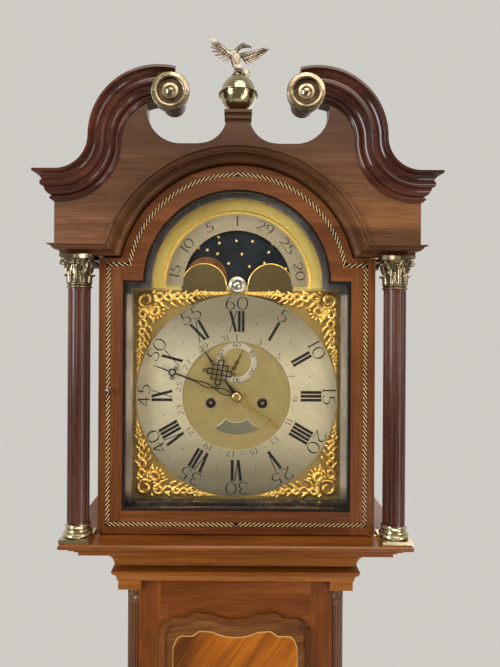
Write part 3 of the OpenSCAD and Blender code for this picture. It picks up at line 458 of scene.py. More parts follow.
MATERIALS = {
    # the frieze carries a painted shade, darker towards the top above the cornice
    "frieze": wood("frieze_mahogany", (0.045, 0.014, 0.004), (0.115, 0.042, 0.012), (0.22, 0.09, 0.03), "x",
                   gloss=0.42, coat=0.08, stripe=30, painted_shade=(deck_z + 470, deck_z + 580, 0.5)),
    "plum": wood("swan_mahogany", (0.018, 0.005, 0.0025), (0.058, 0.015, 0.008), (0.13, 0.034, 0.015), "x",
                 gloss=0.18, coat=0.35, stripe=26),
    "column": wood("column_mahogany", (0.022, 0.007, 0.004), (0.068, 0.021, 0.012), (0.13, 0.043, 0.024), "z",
                   gloss=0.24, coat=0.2),
    "quarter": wood("quarter_column_mahogany", (0.045, 0.015, 0.006), (0.105, 0.04, 0.016),
                    (0.2, 0.085, 0.036), "z", gloss=0.3, coat=0.2),
    "door": wood("hood_door_mahogany", (0.06, 0.015, 0.003), (0.13, 0.038, 0.008), (0.21, 0.07, 0.018), "x",
                 framed=door_w - 36, gloss=0.36, coat=0.12, stripe=44),
    "case": wood("case_mahogany", (0.065, 0.015, 0.002), (0.145, 0.036, 0.005), (0.25, 0.075, 0.012), "x",
                 framed=dial_w - 46, gloss=0.36, coat=0.12),
    "deck": wood("deck_mahogany", (0.1, 0.026, 0.003), (0.23, 0.068, 0.009), (0.37, 0.13, 0.02), "x",
                 gloss=0.34, coat=0.15, stripe=48),
    "cheek": wood("cheek_mahogany", (0.075, 0.02, 0.004), (0.15, 0.045, 0.01), (0.24, 0.082, 0.02), "z",
                  gloss=0.36, coat=0.12),
    "lip": wood("lip_mahogany", (0.05, 0.014, 0.003), (0.115, 0.034, 0.008), (0.19, 0.066, 0.018), "x",
                framed=100, gloss=0.28, coat=0.25),
    "band": wood("crossband", (0.07, 0.022, 0.004), (0.135, 0.046, 0.01), (0.22, 0.085, 0.022), "x",
                 gloss=0.34, coat=0.15, stripe=120, turn=(0, 6, 0)),
    "oak": wood("oak_board", (0.17, 0.1, 0.05), (0.3, 0.19, 0.1), (0.42, 0.29, 0.17), "z",
                gloss=0.55, coat=0.0, stripe=60),
    "ebony": wood("ebonised_bead", (0.006, 0.005, 0.005), (0.014, 0.011, 0.01), (0.03, 0.022, 0.02), "x",
                  framed=168, gloss=0.24, coat=0.3),
    "holly": wood("holly_string", (0.42, 0.24, 0.08), (0.56, 0.35, 0.13), (0.68, 0.46, 0.2), "x",
                  gloss=0.45, coat=0.1),
    "box": wood("boxwood_string", (0.4, 0.22, 0.06), (0.52, 0.31, 0.09), (0.62, 0.4, 0.14), "z", gloss=0.3),
    "brass": metal("clock_brass", (0.74, 0.53, 0.19), (0.45, 0.31, 0.11), 0.26),
    "pale_brass": metal("antique_brass", (0.36, 0.29, 0.18), (0.11, 0.085, 0.05),
                        0.24, 60.0, (0.36, 0.64), 0.1),
    "bright_brass": metal("bright_brass", (0.66, 0.58, 0.38), (0.36, 0.3, 0.18),
                          0.2, 40.0, (0.45, 0.75), 0.06),
    "ball": metal("ball_brass", (0.52, 0.46, 0.27), (0.32, 0.27, 0.15), 0.14, 24.0, (0.45, 0.75), 0.04),
    "gilt": metal("gilt", (0.95, 0.62, 0.17), (0.5, 0.29, 0.07), 0.26, 60.0, (0.42, 0.64), 0.12),
    "eagle": metal("eagle_brass", (0.42, 0.35, 0.26), (0.13, 0.1, 0.07), 0.34, 90.0, (0.36, 0.6), 0.14),
    "browned": metal("browned_steel", (0.07, 0.042, 0.024), (0.025, 0.016, 0.011), 0.4, 60.0),
    "steel": metal("clock_steel", (0.46, 0.46, 0.48), (0.26, 0.25, 0.25), 0.3),
    "blued": metal("blued_steel", (0.03, 0.032, 0.05), (0.012, 0.011, 0.012), 0.3, 60.0),
    "silver": metal("silver_button", (0.62, 0.6, 0.52), (0.34, 0.31, 0.25), 0.2, 60.0),
    "bell": metal("bell_metal", (0.66, 0.56, 0.36), (0.4, 0.32, 0.2), 0.32),
    "bob": metal("bob_brass", (0.8, 0.6, 0.24), (0.5, 0.35, 0.13), 0.18, 18.0),
    "weight": metal("weight_brass", (0.72, 0.52, 0.2), (0.42, 0.29, 0.11), 0.24, 14.0),
}


def silvered(name, bright, dull, warm, painted_shade_depth=0.0):
    """Silvered brass with clouds and stains; the last argument sets how far a painted shade darkens it above
    and below the middle, leaving its sides lighter as a painted bow-tie reflection of round brushing.
    """
    s = Shader(name, metallic=0.85)
    clouds = s.noise(s.coords(), 11.0, 5, 0.6, 0.8)
    stains = s.noise(s.coords(move=(4, 1, 2)), 90.0, 4, 0.7)
    tone = s.mix(s.spread(clouds, 0.0, 1.0, 0.34, 0.68), bright, dull)
    low = s.spread(s.axis("Z"), 1.0, 0.0, (dial_z - 140) * MM, (dial_z + 60) * MM)
    tone = s.mix(s.math("MULTIPLY", low, 0.35), tone, warm)
    # painted shade above and below the dial's middle; the sides stay lighter as a painted reflection
    upright = s.math("ABSOLUTE", s.math("SUBTRACT", s.axis("Z"), dial_z * MM))
    painted_shade = s.spread(upright, 0.0, painted_shade_depth, 0.045, 0.125)
    tone = s.mix(painted_shade, tone, tuple(c * 0.2 for c in warm))
    s.colour(s.mix(s.spread(stains, 0.0, 0.5, 0.6, 0.74), tone, (0.2, 0.16, 0.1)))
    brush = s.noise(s.coords((1, 1, 30)), 60.0, 3, 0.6)
    uneven = s.math("ADD", s.math("MULTIPLY", clouds, 0.6), s.math("MULTIPLY", brush, 0.4))
    s.rough(s.spread(uneven, 0.34, 0.52))
    s.bump(stains, 0.05, 0.0003)
    return s.material


def flame_wood():
    """Flame figure that leans to the right, bright orange with a darker and plainer left side."""
    s = Shader("flame_mahogany", coat=0.2, coat_roughness=0.12, specular=0.25)
    value, pores = grain_value(s, "z", (0, -36, 0), 30.0, (0.5, 0.32, 0.18))
    value = s.math("ADD", value, s.spread(s.axis("X"), -0.13, 0.03, -0.1, 0.02))
    s.colour(s.ramp(value, [(0.34, (0.09, 0.024, 0.002)), (0.48, (0.32, 0.085, 0.004)),
                            (0.64, (0.6, 0.2, 0.012))]))
    s.rough(s.spread(pores, 0.26, 0.44))
    s.bump(pores, 0.12, 0.0004)
    return s.material


def coating(name, scale, detail, broken, stops, rough, bump=None, distortion=0.0, **settings):
    """Paint, wax or leaf: one patchy pattern gives its colour, gloss and, where it is given, bump."""
    s = Shader(name, **settings)
    patches = s.noise(s.coords(), scale, detail, broken, distortion)
    s.colour(s.ramp(patches, stops))
    s.rough(s.spread(patches, *rough))
    if bump:
        s.bump(patches, *bump)
    return s.material


def dial_brass():
    """The dial plate: matted centre with crossed guide lines, engraved humps and a polished arch border."""
    s = Shader("dial_brass", metallic=0.7)
    clouds = s.noise(s.coords(), 14.0, 5, 0.6, 0.7)
    plain = s.mix(s.spread(clouds, 0.0, 1.0, 0.35, 0.68), (0.7, 0.52, 0.17), (0.42, 0.3, 0.1))
    hatch = [s.wave(s.coords(rotation=(0, turn, 0)), 160.0, 0.6, 1.0) for turn in (45, -45)]
    lines = s.math("MULTIPLY", hatch[0], hatch[1])
    centre = s.mix(s.spread(lines, 0.0, 0.5, 0.0, 0.5), (0.36, 0.27, 0.1), (0.52, 0.4, 0.165))
    patchy = s.mix(s.spread(clouds, 0.0, 0.8, 0.38, 0.62), centre, (0.3, 0.225, 0.085))
    # painted shade: the plate's corners below the arch, between the spandrel scrolls, are a darker brass
    ground = s.mix(s.spread(clouds, 0.0, 1.0, 0.35, 0.68), (0.36, 0.24, 0.07), (0.2, 0.13, 0.04))
    plain = s.mix(s.math("LESS_THAN", s.axis("Z"), (moon_z - 9) * MM), plain, ground)
    tone = s.mix(s.inside(0, dial_z, chapter_r - 74), plain, patchy)
    humps = s.math("MAXIMUM", s.inside(hump_x, hump_z, 36), s.inside(-hump_x, hump_z, 36))
    scored = s.wave(s.coords(rotation=(0, 38, 0)), 210.0, 1.5, 2.0)
    tone = s.mix(humps, tone, s.ramp(scored, [(0.2, (0.06, 0.042, 0.012)), (0.8, (0.14, 0.1, 0.034))]))
    border = s.math("MULTIPLY", s.math("SUBTRACT", 1.0, s.inside(0, moon_z, 112)),
                    s.math("GREATER_THAN", s.axis("Z"), (moon_z - 6) * MM))
    s.colour(s.mix(border, tone, (1.0, 0.74, 0.2)))
    s.rough(s.math("ADD", s.spread(clouds, 0.26, 0.42), s.math("MULTIPLY", border, -0.12)))
    s.bump(s.math("ADD", s.math("MULTIPLY", lines, 0.5), s.math("MULTIPLY", scored, 0.4)), 0.14, 0.0003)
    return s.material


def painted_sky():
    """The moon disc's ground: deep blue-black paint, slightly crazed."""
    s = Shader("moon_sky", roughness=0.5, specular=0.05)
    depth = s.noise(s.coords(), 30.0, 4, 0.6)
    s.colour(s.ramp(depth, [(0.35, (0.004, 0.005, 0.006)), (0.7, (0.012, 0.015, 0.018))]))
    s.rough(s.spread(depth, 0.42, 0.6))
    s.bump(s.cells(s.coords(), 260.0), 0.05, 0.0002)
    return s.material




def mask_paint():
    """Dark frame round the dial: slate lacquer with a soft sheen; its greyer sides and arch are a painted
    reflection of the lit hood sides and windows.
    """
    s = Shader("dark_mask", roughness=0.2, coat=0.25, coat_roughness=0.06)
    streaks = s.noise(s.coords((1, 1, 0.3)), 26.0, 4, 0.6, 0.5)
    side = s.math("GREATER_THAN", s.math("ABSOLUTE", s.axis("X")), 162.5 * MM)
    high = s.spread(s.axis("Z"), 0.0, 1.0, (dial_lo + 3) * MM, (dial_lo + 30) * MM)
    dark = s.ramp(streaks, [(0.3, (0.012, 0.009, 0.008)), (0.7, (0.032, 0.024, 0.021))])
    # pale is painted reflection and light up the mask's sides, where the lit hood side and its window show
    # past the dial
    pale = s.ramp(streaks, [(0.32, (0.16, 0.125, 0.095)), (0.66, (0.4, 0.32, 0.24))])
    # painted reflection: greyer round the arch
    arch_reflection_zone = s.math("GREATER_THAN", s.axis("Z"), (dial_z + 160) * MM)
    painted_arch_reflection = s.ramp(streaks, [(0.3, (0.05, 0.042, 0.042)), (0.7, (0.11, 0.095, 0.095))])
    tone = s.mix(s.math("MULTIPLY", side, high), dark, pale)
    s.colour(s.mix(arch_reflection_zone, tone, painted_arch_reflection))
    s.rough(s.spread(streaks, 0.16, 0.34))
    s.bump(streaks, 0.05, 0.0004)
    return s.material






def gut():
    """Natural gut line: a tight twist of amber strands."""
    s = Shader("gut", roughness=0.45, coat=0.2)
    twist = s.wave(s.coords(rotation=(0, 35, 0)), 260.0, 0.4, 1.0, "Z")
    s.colour(s.ramp(twist, [(0.2, (0.3, 0.19, 0.08)), (0.8, (0.52, 0.38, 0.2))]))
    s.rough(s.spread(twist, 0.36, 0.52))
    s.bump(twist, 0.3, 0.0004)
    return s.material


def window_glass():
    """Old window glass, clear with a faint ripple, that lets the lamps reach what is behind it."""
    s = Shader("window_glass", roughness=0.02)
    s.surface.inputs["Transmission Weight"].default_value = 1.0
    s.surface.inputs["IOR"].default_value = 1.28
    s.colour(s.ramp(s.noise(s.coords(), 6.0, 2), [(0.3, (0.97, 0.98, 0.97)), (0.7, (0.99, 1.0, 0.99))]))
    s.bump(s.noise(s.coords(), 9.0, 1), 0.04, 0.002)
    clear = s.node("ShaderNodeBsdfTransparent")
    chosen = s.node("ShaderNodeMixShader")
    output = next(n for n in s.tree.nodes if n.type == "OUTPUT_MATERIAL")
    s.feed(chosen.inputs[0], s.node("ShaderNodeLightPath").outputs["Is Shadow Ray"])
    s.feed(chosen.inputs[1], s.surface.outputs[0])
    s.feed(chosen.inputs[2], clear.outputs[0])
    s.feed(output.inputs["Surface"], chosen.outputs[0])
    return s.material


MATERIALS.update({
    "ring": silvered("silvered_ring", (0.64, 0.55, 0.36), (0.48, 0.41, 0.27), (0.5, 0.42, 0.26), 0.72),
    "lunar": silvered("silvered_lunar", (0.36, 0.3, 0.19), (0.25, 0.2, 0.125), (0.27, 0.22, 0.13)),
    "small_ring": silvered("silvered_small", (0.56, 0.49, 0.36), (0.4, 0.34, 0.24), (0.46, 0.4, 0.27)),
    "plaque": silvered("silvered_plaque", (0.22, 0.21, 0.145), (0.15, 0.14, 0.095), (0.17, 0.16, 0.1)),
    "flame": flame_wood(),
    "leaf": coating("gold_leaf", 240.0, 3, 0.55, [(0.4, (0.95, 0.66, 0.2)), (0.7, (0.75, 0.45, 0.1))],
                    (0.3, 0.5), metallic=0.35),
    "dial": dial_brass(),
    "sky": painted_sky(),
    "moon": coating("moon_enamel", 60.0, 5, 0.6,
                    [(0.34, (0.035, 0.012, 0.004)), (0.5, (0.075, 0.03, 0.009)), (0.68, (0.14, 0.06, 0.02))],
                    (0.36, 0.52), (0.08, 0.0004), 0.5, roughness=0.45, specular=0.05),
    "mask": mask_paint(),
    "wax": coating("engraving_wax", 170.0, 4, 0.7,
                   [(0.45, (0.006, 0.005, 0.005)), (0.8, (0.03, 0.025, 0.02))],
                   (0.4, 0.6), (0.1, 0.0002), roughness=0.5, specular=0.1),
    "gut": gut(),
    "glass": window_glass(),
})

NODE_FINISH = {
    "frieze": "hood_top cornice_moulding",
    "plum": "swan_necks",
    "column": "hood_columns",
    "quarter": "quarter_columns",
    "door": "hood_door_frame",
    "case": "trunk_front_frame base_carcass",
    "deck": "hood_base_frame trunk_top_moulding base_moulding bracket_feet",
    "cheek": "trunk_cheeks hood_sides",
    "lip": "trunk_door_lip",
    "oak": "backboard seatboard trunk_door",
    "ebony": "hood_door_bead",
    "mask": "dial_mask",
    "glass": "hood_door_glass hood_side_windows",
    "dial": "dial_plate",
    "ring": "chapter_ring",
    "lunar": "lunar_ring",
    "small_ring": "seconds_ring",
    "plaque": "dial_plaque",
    "gilt": "calendar_hand",
    "silver": "moon_boss",
    "sky": "moon_disc",
    "bell": "bell",
    "brass": "movement_frame pendulum_cock centre_wheel hour_wheel minute_wheel third_wheel escape_wheel "
             "going_barrel strike_barrel trunk_hinges trunk_door_lock hood_door_pivots",
    "pale_brass": "rosettes column_capitals hood_door_knob",
    "bright_brass": "column_bases",
    "ball": "finial_ball",
    "eagle": "finial_eagle",
    "blued": "minute_hand seconds_hand",
    "browned": "hour_hand",
    "steel": "anchor bell_hammer",
    "bob": "pendulum",
    "weight": "going_weight strike_weight",
    "gut": "going_line strike_line",
}


def finish_frame():
    """Gives every carried-over CAD node its finish."""
    for key, names in NODE_FINISH.items():
        for name in names.split():
            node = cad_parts[name]
            node.data.materials.clear()
            node.data.materials.append(MATERIALS[key])
            node.data.polygons.foreach_set("material_index", [0] * len(node.data.polygons))


finish_frame()

# ---------- engraved dial ----------


def glyph(character):
    """Pen strokes of an old-style figure in a cell one unit high, and its width."""
    if character == "0":
        return [arc(0.46, 0.5, 0.43, 0.5, 90, 450, 26)], 0.98
    if character == "1":
        feet = [[(0.06, v), (0.38, v)] for v in (0.98, 0.02)]
        return [[(0.22, 0.02), (0.22, 0.98)]] + feet, 0.46
    if character == "2":
        bow = arc(0.4, 0.7, 0.34, 0.29, 165, -35, 12)
        return [bow + [(0.34, 0.26), (0.06, 0.04)], [(0.06, 0.04), (0.4, 0.08), (0.84, 0.04)]], 0.9
    if character == "3":
        return [arc(0.34, 0.76, 0.29, 0.23, 150, -85, 10), arc(0.32, 0.27, 0.38, 0.27, 88, -150, 14)], 0.78
    if character == "4":
        return [[(0.6, 1.0), (0.32, 0.66), (0.02, 0.32), (0.9, 0.32)], [(0.62, 1.0), (0.62, 0.02)]], 0.95
    if character == "5":
        return [[(0.24, 0.98), (0.76, 0.98)], [(0.24, 0.98), (0.2, 0.56)],
                arc(0.36, 0.3, 0.38, 0.3, 118, -150, 14)], 0.84
    if character == "6":
        return [arc(0.42, 0.3, 0.36, 0.3, 90, 450, 18), arc(0.62, 0.36, 0.56, 0.62, 175, 95, 8)], 0.86
    if character == "7":
        return [[(0.06, 0.96), (0.82, 0.96)], [(0.82, 0.96), (0.5, 0.5), (0.34, 0.02)]], 0.86
    if character == "8":
        return [arc(0.42, 0.75, 0.27, 0.24, 90, 450, 16), arc(0.42, 0.27, 0.35, 0.27, 90, 450, 18)], 0.86
    return [arc(0.42, 0.7, 0.36, 0.3, 90, 450, 18), arc(0.22, 0.64, 0.56, 0.62, -5, -85, 8)], 0.86


class Engraving:
    """Thin raised wax strokes on a ring round x = 0, z; heights and widths are in mm."""

    def __init__(self, z, depth, proud=0.12):
        self.shape = Shape()
        self.z = z
        self.b = (depth - 0.05, depth + proud)

    def place(self, radius, angle, u, v):
        right_x, right_z = math.cos(math.radians(angle)), -math.sin(math.radians(angle))
        x, z = polar(radius + v, angle)
        return x + right_x * u, self.z + z + right_z * u

    def stroke(self, points, radius, angle, thin, thick):
        """A pen stroke through (u, v) points, thick where it runs up or down."""
        left, right = [], []
        closed = math.dist(points[0], points[-1]) < 1e-6
        n = len(points)
        for i, (u, v) in enumerate(points):
            after = points[(i + 1) % (n - 1)] if closed else points[min(i + 1, n - 1)]
            before = points[(i - 1) % (n - 1)] if closed else points[max(i - 1, 0)]
            du, dv = after[0] - before[0], after[1] - before[1]
            size = math.hypot(du, dv)
            half = (thin + (thick - thin) * (abs(dv) / size) ** 2) / 2
            nu, nv = -dv / size * half, du / size * half
            left.append(self.place(radius, angle, u + nu, v + nv))
            right.append(self.place(radius, angle, u - nu, v - nv))
        self.shape.strip(left, right, *self.b)

    def figures(self, text, radius, angle, height, thin, thick, gap=0.14, wide=1.0):
        """Figures standing on a radius, centred on an angle."""
        glyphs = [glyph(c) for c in text]
        total = sum(w for _, w in glyphs) * wide + gap * (len(text) - 1)
        start = -total / 2
        for strokes, width in glyphs:
            for points in strokes:
                placed = [((start + x * wide) * height, y * height) for x, y in points]
                self.stroke(placed, radius, angle, thin, thick)
            start += width * wide + gap

    def dot(self, radius, angle, size):
        x, z = polar(radius, angle)
        self.shape.prism(arc(x, self.z + z, size, size, 0, 324, 9), *self.b)

    def line(self, radius, thickness, steps=96):
        """A flat ring."""
        turns = [360 * i / steps for i in range(steps + 1)]
        rows = [[self.place(radius + r, t, 0, 0) for t in turns] for r in (-thickness / 2, thickness / 2)]
        self.shape.strip(rows[0], rows[1], *self.b)

    def numeral(self, text, radius, angle, height, bar=4.6, hair=1.0):
        """A Roman numeral with its feet to the centre."""
        widths = {"I": 6.1, "V": 12.5, "X": 13.5}
        start = -sum(widths[c] for c in text) / 2
        for c in text:
            w = widths[c]
            mid = start + w / 2
            if c == "I":
                self.bar(radius, angle, [(mid, 0), (mid, height)], bar)
            elif c == "V":
                self.bar(radius, angle, [(mid, 0), (mid - w / 2 + 2, height)], bar)
                self.bar(radius, angle, [(mid + 0.6, 0), (mid + w / 2 - 1.2, height)], hair * 1.5)
            else:
                self.bar(radius, angle, [(mid + w / 2 - 2.4, 0), (mid - w / 2 + 2.4, height)], bar)
                self.bar(radius, angle, [(mid - w / 2 + 1.4, 0), (mid + w / 2 - 1.4, height)], hair * 1.3)
            start += w

    def bar(self, radius, angle, ends, width):
        """A straight stroke of one width, with a hairline foot at each end."""
        rows = [[self.place(radius, angle, u + s * width / 2, v) for u, v in ends] for s in (-1, 1)]
        self.shape.strip(rows[0], rows[1], *self.b)
        for u, v in ends:
            foot = [self.place(radius, angle, u + s * (width / 2 + 1.1), v + t) for t in (-0.25, 0.25)
                    for s in ((-1, 1) if t < 0 else (1, -1))]
            self.shape.prism(foot, *self.b)


def engrave_chapters():
    """Hours in Roman figures, minutes in Arabic ones, and the calendar round the inside."""
    work = Engraving(dial_z, ring_b)
    romans = "XII I II III IIII V VI VII VIII IX X XI".split()
    for hour, text in enumerate(romans):
        work.numeral(text, chapter_r - 57.5, hour * 30, 32.5)
        work.figures(str(hour * 5 or 60), chapter_r - 22.5, hour * 30, 19.5, 0.9, 2.2, wide=0.95)
    for minute in range(60):
        if minute % 5:
            work.dot(chapter_r - 14.5, minute * 6, 0.55)
    for half in range(12):
        work.dot(chapter_r - 40, half * 30 + 15, 1.0)
    for day in range(1, 32):
        angle = (day - 1) * 360 / 31
        if day % 2:
            work.figures(str(day), chapter_r - 71.4, angle, 8.6, 0.5, 1.1, gap=0.2)
        else:
            work.dot(chapter_r - 67, angle, 0.8)
    work.shape.piece("chapter_engraving", "wax", "case", "silvered_ring", smooth=CRISP)


def engrave_seconds():
    """Seconds in tens, dots at the halves and a fine line inside the rim."""
    work = Engraving(seconds_z, ring_b - 0.8)
    for tens in range(6):
        work.figures(str(tens * 10 or 60), 24.9, tens * 60, 6.4, 0.55, 1.15, gap=0.1)
        work.dot(28, tens * 60 + 30, 0.5)
    work.line(32.0, 0.35)
    work.shape.piece("seconds_engraving", "wax", "case", "silvered_small", smooth=CRISP)


def engrave_lunar():
    """The moon's age round the arch, every fifth day in figures."""
    work = Engraving(moon_z, dial_b + 1.5)
    ages = [15, 10, 5, 1, 29, 25, 20]
    pitch = 26
    for step, age in enumerate(ages):
        angle = pitch * step - 78
        work.figures(str(age), 93.6, angle, 14.5, 0.8, 2.1, gap=0.1)
        if step < len(ages) - 1:
            for k in range(1, 5):
                work.dot(90.6, angle + pitch * k / 5, 0.8)
    work.shape.piece("lunar_engraving", "wax", "case", "silvered_ring", smooth=CRISP)


def dial_lines():
    """Bright turned beads at the edges of the humps and the arch, and round the winding holes and seconds."""
    bright = Shape()
    for cx in (-hump_x, hump_x):
        bright.wire(clockwise(cx, hump_z, 35.6, -86, 86, 40), dial_b + 0.2, 0.75)
    for radius in (116.6, arch_r - 0.8):
        bright.wire(clockwise(0, moon_z, radius, -87.4, 87.4, 72), dial_b + 2.5, 0.7)
    bright.piece("arch_beads", "gilt", "case", "dial_brass")
    collars = Shape()
    for cx in (-winding_x, winding_x):
        outline = [(6, 0), (8.0, 0), (8.1, 0.4), (7.2, 0.8), (6.1, 0.5)]
        collars.revolve(outline, turned_at(cx, winding_z, dial_b), 32)
    collars.piece("winding_collars", "blued", "case", "dial_brass")
    bead = Shape()
    outline = [(22.6, 0), (24.1, 0), (24.0, 0.8), (23.4, 1.2), (22.8, 0.7)]
    bead.revolve(outline, turned_at(0, seconds_z, dial_b), 56)
    bead.piece("seconds_bead", "small_ring", "case", "dial_brass")


def winding_squares():
    """Bright squared ends of the two barrel arbors, seen through the winding holes."""
    for side, body in ((1, "going_barrel"), (-1, "strike_barrel")):
        work = Shape()
        face = span(body)[3]
        for half, low, high in ((2.3, -0.4, 0.1), (1.3, 0.05, 0.5)):
            corners = [(side * winding_x + u * half, winding_z + v * half)
                       for u, v in ((-1, -1), (1, -1), (1, 1), (-1, 1))]
            work.prism(corners, face + low, face + high)
        work.piece(body + "_square_end", "silver", body, "clock_brass", smooth=CRISP)


def hand_collet():
    """The domed brass collet pinned in front of the minute hand."""
    work = Shape()
    foot_b = 202.0
    outline = [(1.6, 0), (6.5, 0), (6.5, 0.35), (5.6, 0.8), (3.6, 1.05), (1.6, 1.1)]
    work.revolve(outline, turned_at(0, dial_z, foot_b), 36)
    work.piece("hand_collet", "brass", "minute_arbor", "clock_brass")


def lace_hour_hand():
    """The hour hand with its pierced head drawn as crossed scrolls, lying at the rest time."""
    x0, _, low, high, _, z1 = span("hour_hand")        # x0 and z1 are the tip's
    turn = math.degrees(math.atan2(x0, z1 - dial_z))
    hand = Engraving(dial_z, low + 0.05, high - low - 0.05)
    for place in (-10.8, 0, 10.8):
        for phase in (0, 180):
            swell = [4.3 * math.sin(math.radians(phase + 15 * i)) for i in range(37)]
            rising = [(place + w, 29.5 + 33.5 * i / 36) for i, w in enumerate(swell)]
            crossing = [(-17 + 34 * i / 36, 46.2 + place + w) for i, w in enumerate(swell)]
            for path in (rising, crossing):
                hand.stroke(path, 0, turn, 1.3, 1.3)
    for u, v in ((-17, 63), (17, 63), (-17, 29.5), (17, 29.5), (0, 66)):
        hand.stroke([(u + a, v + c) for a, c in arc(0, 0, 2.3, 2.3, 0, 360, 14)], 0, turn, 1.2, 1.2)
    hand.line(6.2, 3.4)
    for outline in ([(-3.4, 6), (3.4, 6), (1.5, 30), (-1.5, 30)],
                    [(-2.2, 66), (2.2, 66), (1.0, 78), (0.4, 99.5), (-0.4, 99.5), (-1.0, 78)]):
        hand.shape.prism([hand.place(0, turn, u, v) for u, v in outline], *hand.b)
    hand.shape.piece("lace_hour_hand", "browned", "hour_arbor", "blued_steel", smooth=CRISP,
                     replaces=["hour_hand"])


def moon_paintings():
    """Gilt stars and two russet moons on the moving disc."""
    face_b = span("moon_disc")[3]
    moon_dx, moon_dz = arc(0, 0, 50, 50, 168.3, 168.3, 1)[0]
    clear_of_moons = 36.5
    stars = Shape()
    random.seed(7)
    for ring, count, shift in ((72, 17, 3), (54, 9, 12), (36, 7, 30), (86, 12, 9)):
        for k in range(count):
            x, z = polar(ring + random.uniform(-5, 5), shift + 360 * k / count + random.uniform(-6, 6))
            if min(math.hypot(x - s * moon_dx, z - s * moon_dz) for s in (-1, 1)) < clear_of_moons:
                continue
            tips = [polar(2.9 if i % 2 == 0 else 1.1, 36 * i) for i in range(10)]
            stars.prism([(x + dx, moon_z + z + dz) for dx, dz in tips], face_b - 0.55, face_b - 0.3)
    stars.piece("moon_stars", "leaf", "moon_disc", "gilt", smooth=CRISP)
    moons = Shape()
    outline = [(0.01, -0.3), (33.8, -0.3), (33.8, 0.1), (32.6, 0.3), (31.8, 0.15), (20, 0.35), (0.01, 0.5)]
    for s in (-1, 1):
        moons.revolve(outline, turned_at(s * moon_dx, moon_z + s * moon_dz, face_b), 56)
    moons.piece("moon_faces", "moon", "moon_disc", "moon_enamel")


def plaque_trim():
    """Bright bevels along the curved edges of the blank plaque."""
    work = Shape()
    for sign, turns in ((-1, (-31, -75)), (1, (211, 255))):
        work.wire(arc(sign * 44, dial_z - 21, 30.4, 30.4, *turns, 14), dial_b + 1.45, 0.55)
    work.wire(arc(0, dial_z - 14, 28.4, 28.4, 231, 309, 18), dial_b + 1.45, 0.55)
    work.piece("plaque_bevel", "small_ring", "case", "silvered_small")


engrave_chapters()
engrave_seconds()
engrave_lunar()
dial_lines()
winding_squares()
hand_collet()
lace_hour_hand()
moon_paintings()
plaque_trim()

# ---------- inlay and veneer ----------


def string_pieces():
    """Rope stringing on the hood door: slanting pale strokes along an ebony line."""
    width, pitch, slant = 6.6, 7.0, 9.0
    half, reach = width / 2, width / 2 - 0.4
    corners = ((-1, -1.3), (-1, 1.3), (1, 1.3), (1, -1.3))        # of a stroke: side, and how far along
    low, shoulder = door_lo + 14.5, door_hi - 154.2 + 4.5
    side = door_w - 14.6
    radius = 164.5
    start = math.degrees(math.acos((shoulder - arch_z) / radius))
    dark, pale = Shape(), Shape()
    face = (door_b - 0.05, door_b + 0.06)
    pale_face = (door_b - 0.05, door_b + 0.12)
    inner_x = radius * math.sin(math.radians(start))

    def run(a, b, flip):
        """A straight run from a to b with its strokes leaning along it."""
        ax, az = a
        length = math.dist(a, b)
        ux, uz = (b[0] - ax) / length, (b[1] - az) / length
        nx, nz = -uz, ux
        dark.strip([(ax + nx * half, az + nz * half), (b[0] + nx * half, b[1] + nz * half)],
                   [(ax - nx * half, az - nz * half), (b[0] - nx * half, b[1] - nz * half)], *face)
        count = int(length / pitch)
        for i in range(count):
            d = (i + 0.5) * length / count
            lean = slant / 2 * flip
            points = []
            for across, shift in corners:
                t = min(max(d + across * lean + shift, 0), length)
                points.append((ax + ux * t + nx * across * reach, az + uz * t + nz * across * reach))
            pale.prism(points, *pale_face)

    for s in (-1, 1):
        run((s * side, low), (s * side, shoulder), s)
        run((s * 0.01, low), (s * (side + half), low), s)
        run((s * inner_x, shoulder), (s * (side + half), shoulder), s)
        steps = 40
        turns = [start * i / steps for i in range(steps + 1)]
        rows = [[(s * r * math.sin(math.radians(t)), arch_z + r * math.cos(math.radians(t))) for t in turns]
                for r in (radius - half, radius + half)]
        dark.strip(rows[0], rows[1], *face)
        count = int(math.radians(start) * radius / pitch)
        for i in range(count):
            turn = math.radians(start * (i + 0.5) / count)
            points = []
            for across, shift in corners:
                t = turn + (shift - across * slant / 2) / radius
                r = radius + across * reach
                points.append((s * r * math.sin(t), arch_z + r * math.cos(t)))
            pale.prism(points, *pale_face)
    dark.piece("string_ebony", "ebony", "hood_door", "ebonised_bead", smooth=CRISP)
    pale.piece("string_holly", "holly", "hood_door", "door_mahogany", smooth=CRISP)


def door_outline(inset):
    """Serpentine outline of the trunk door, set in by a distance, anticlockwise from the lower right."""
    _, wide, _, _, z0, z1 = span("trunk_door")
    corner, lobe_r, dip_r = 16.8, 12.8, 97.2
    crest = z1 - corner
    arcs = arc(wide - corner, crest - 4, lobe_r, lobe_r, 18, 88, 7) + [(78, crest + 8.8), (74, crest + 9.8)]
    arcs += arc(60, crest + 4, lobe_r, lobe_r, 66, 105, 6) + arc(0, crest + 104, dip_r, dip_r, -66, -90, 10)
    half = [(wide, z0)] + [(wide, z0 + (crest - 9.2 - z0) * i / 6) for i in range(1, 7)] + arcs
    whole = half + [(-x, z) for x, z in half[::-1]][1:]
    share = (wide - inset) / wide
    return [(x * share, z + inset if z <= z0 + 0.1 else z - 1.7 * inset) for x, z in whole]


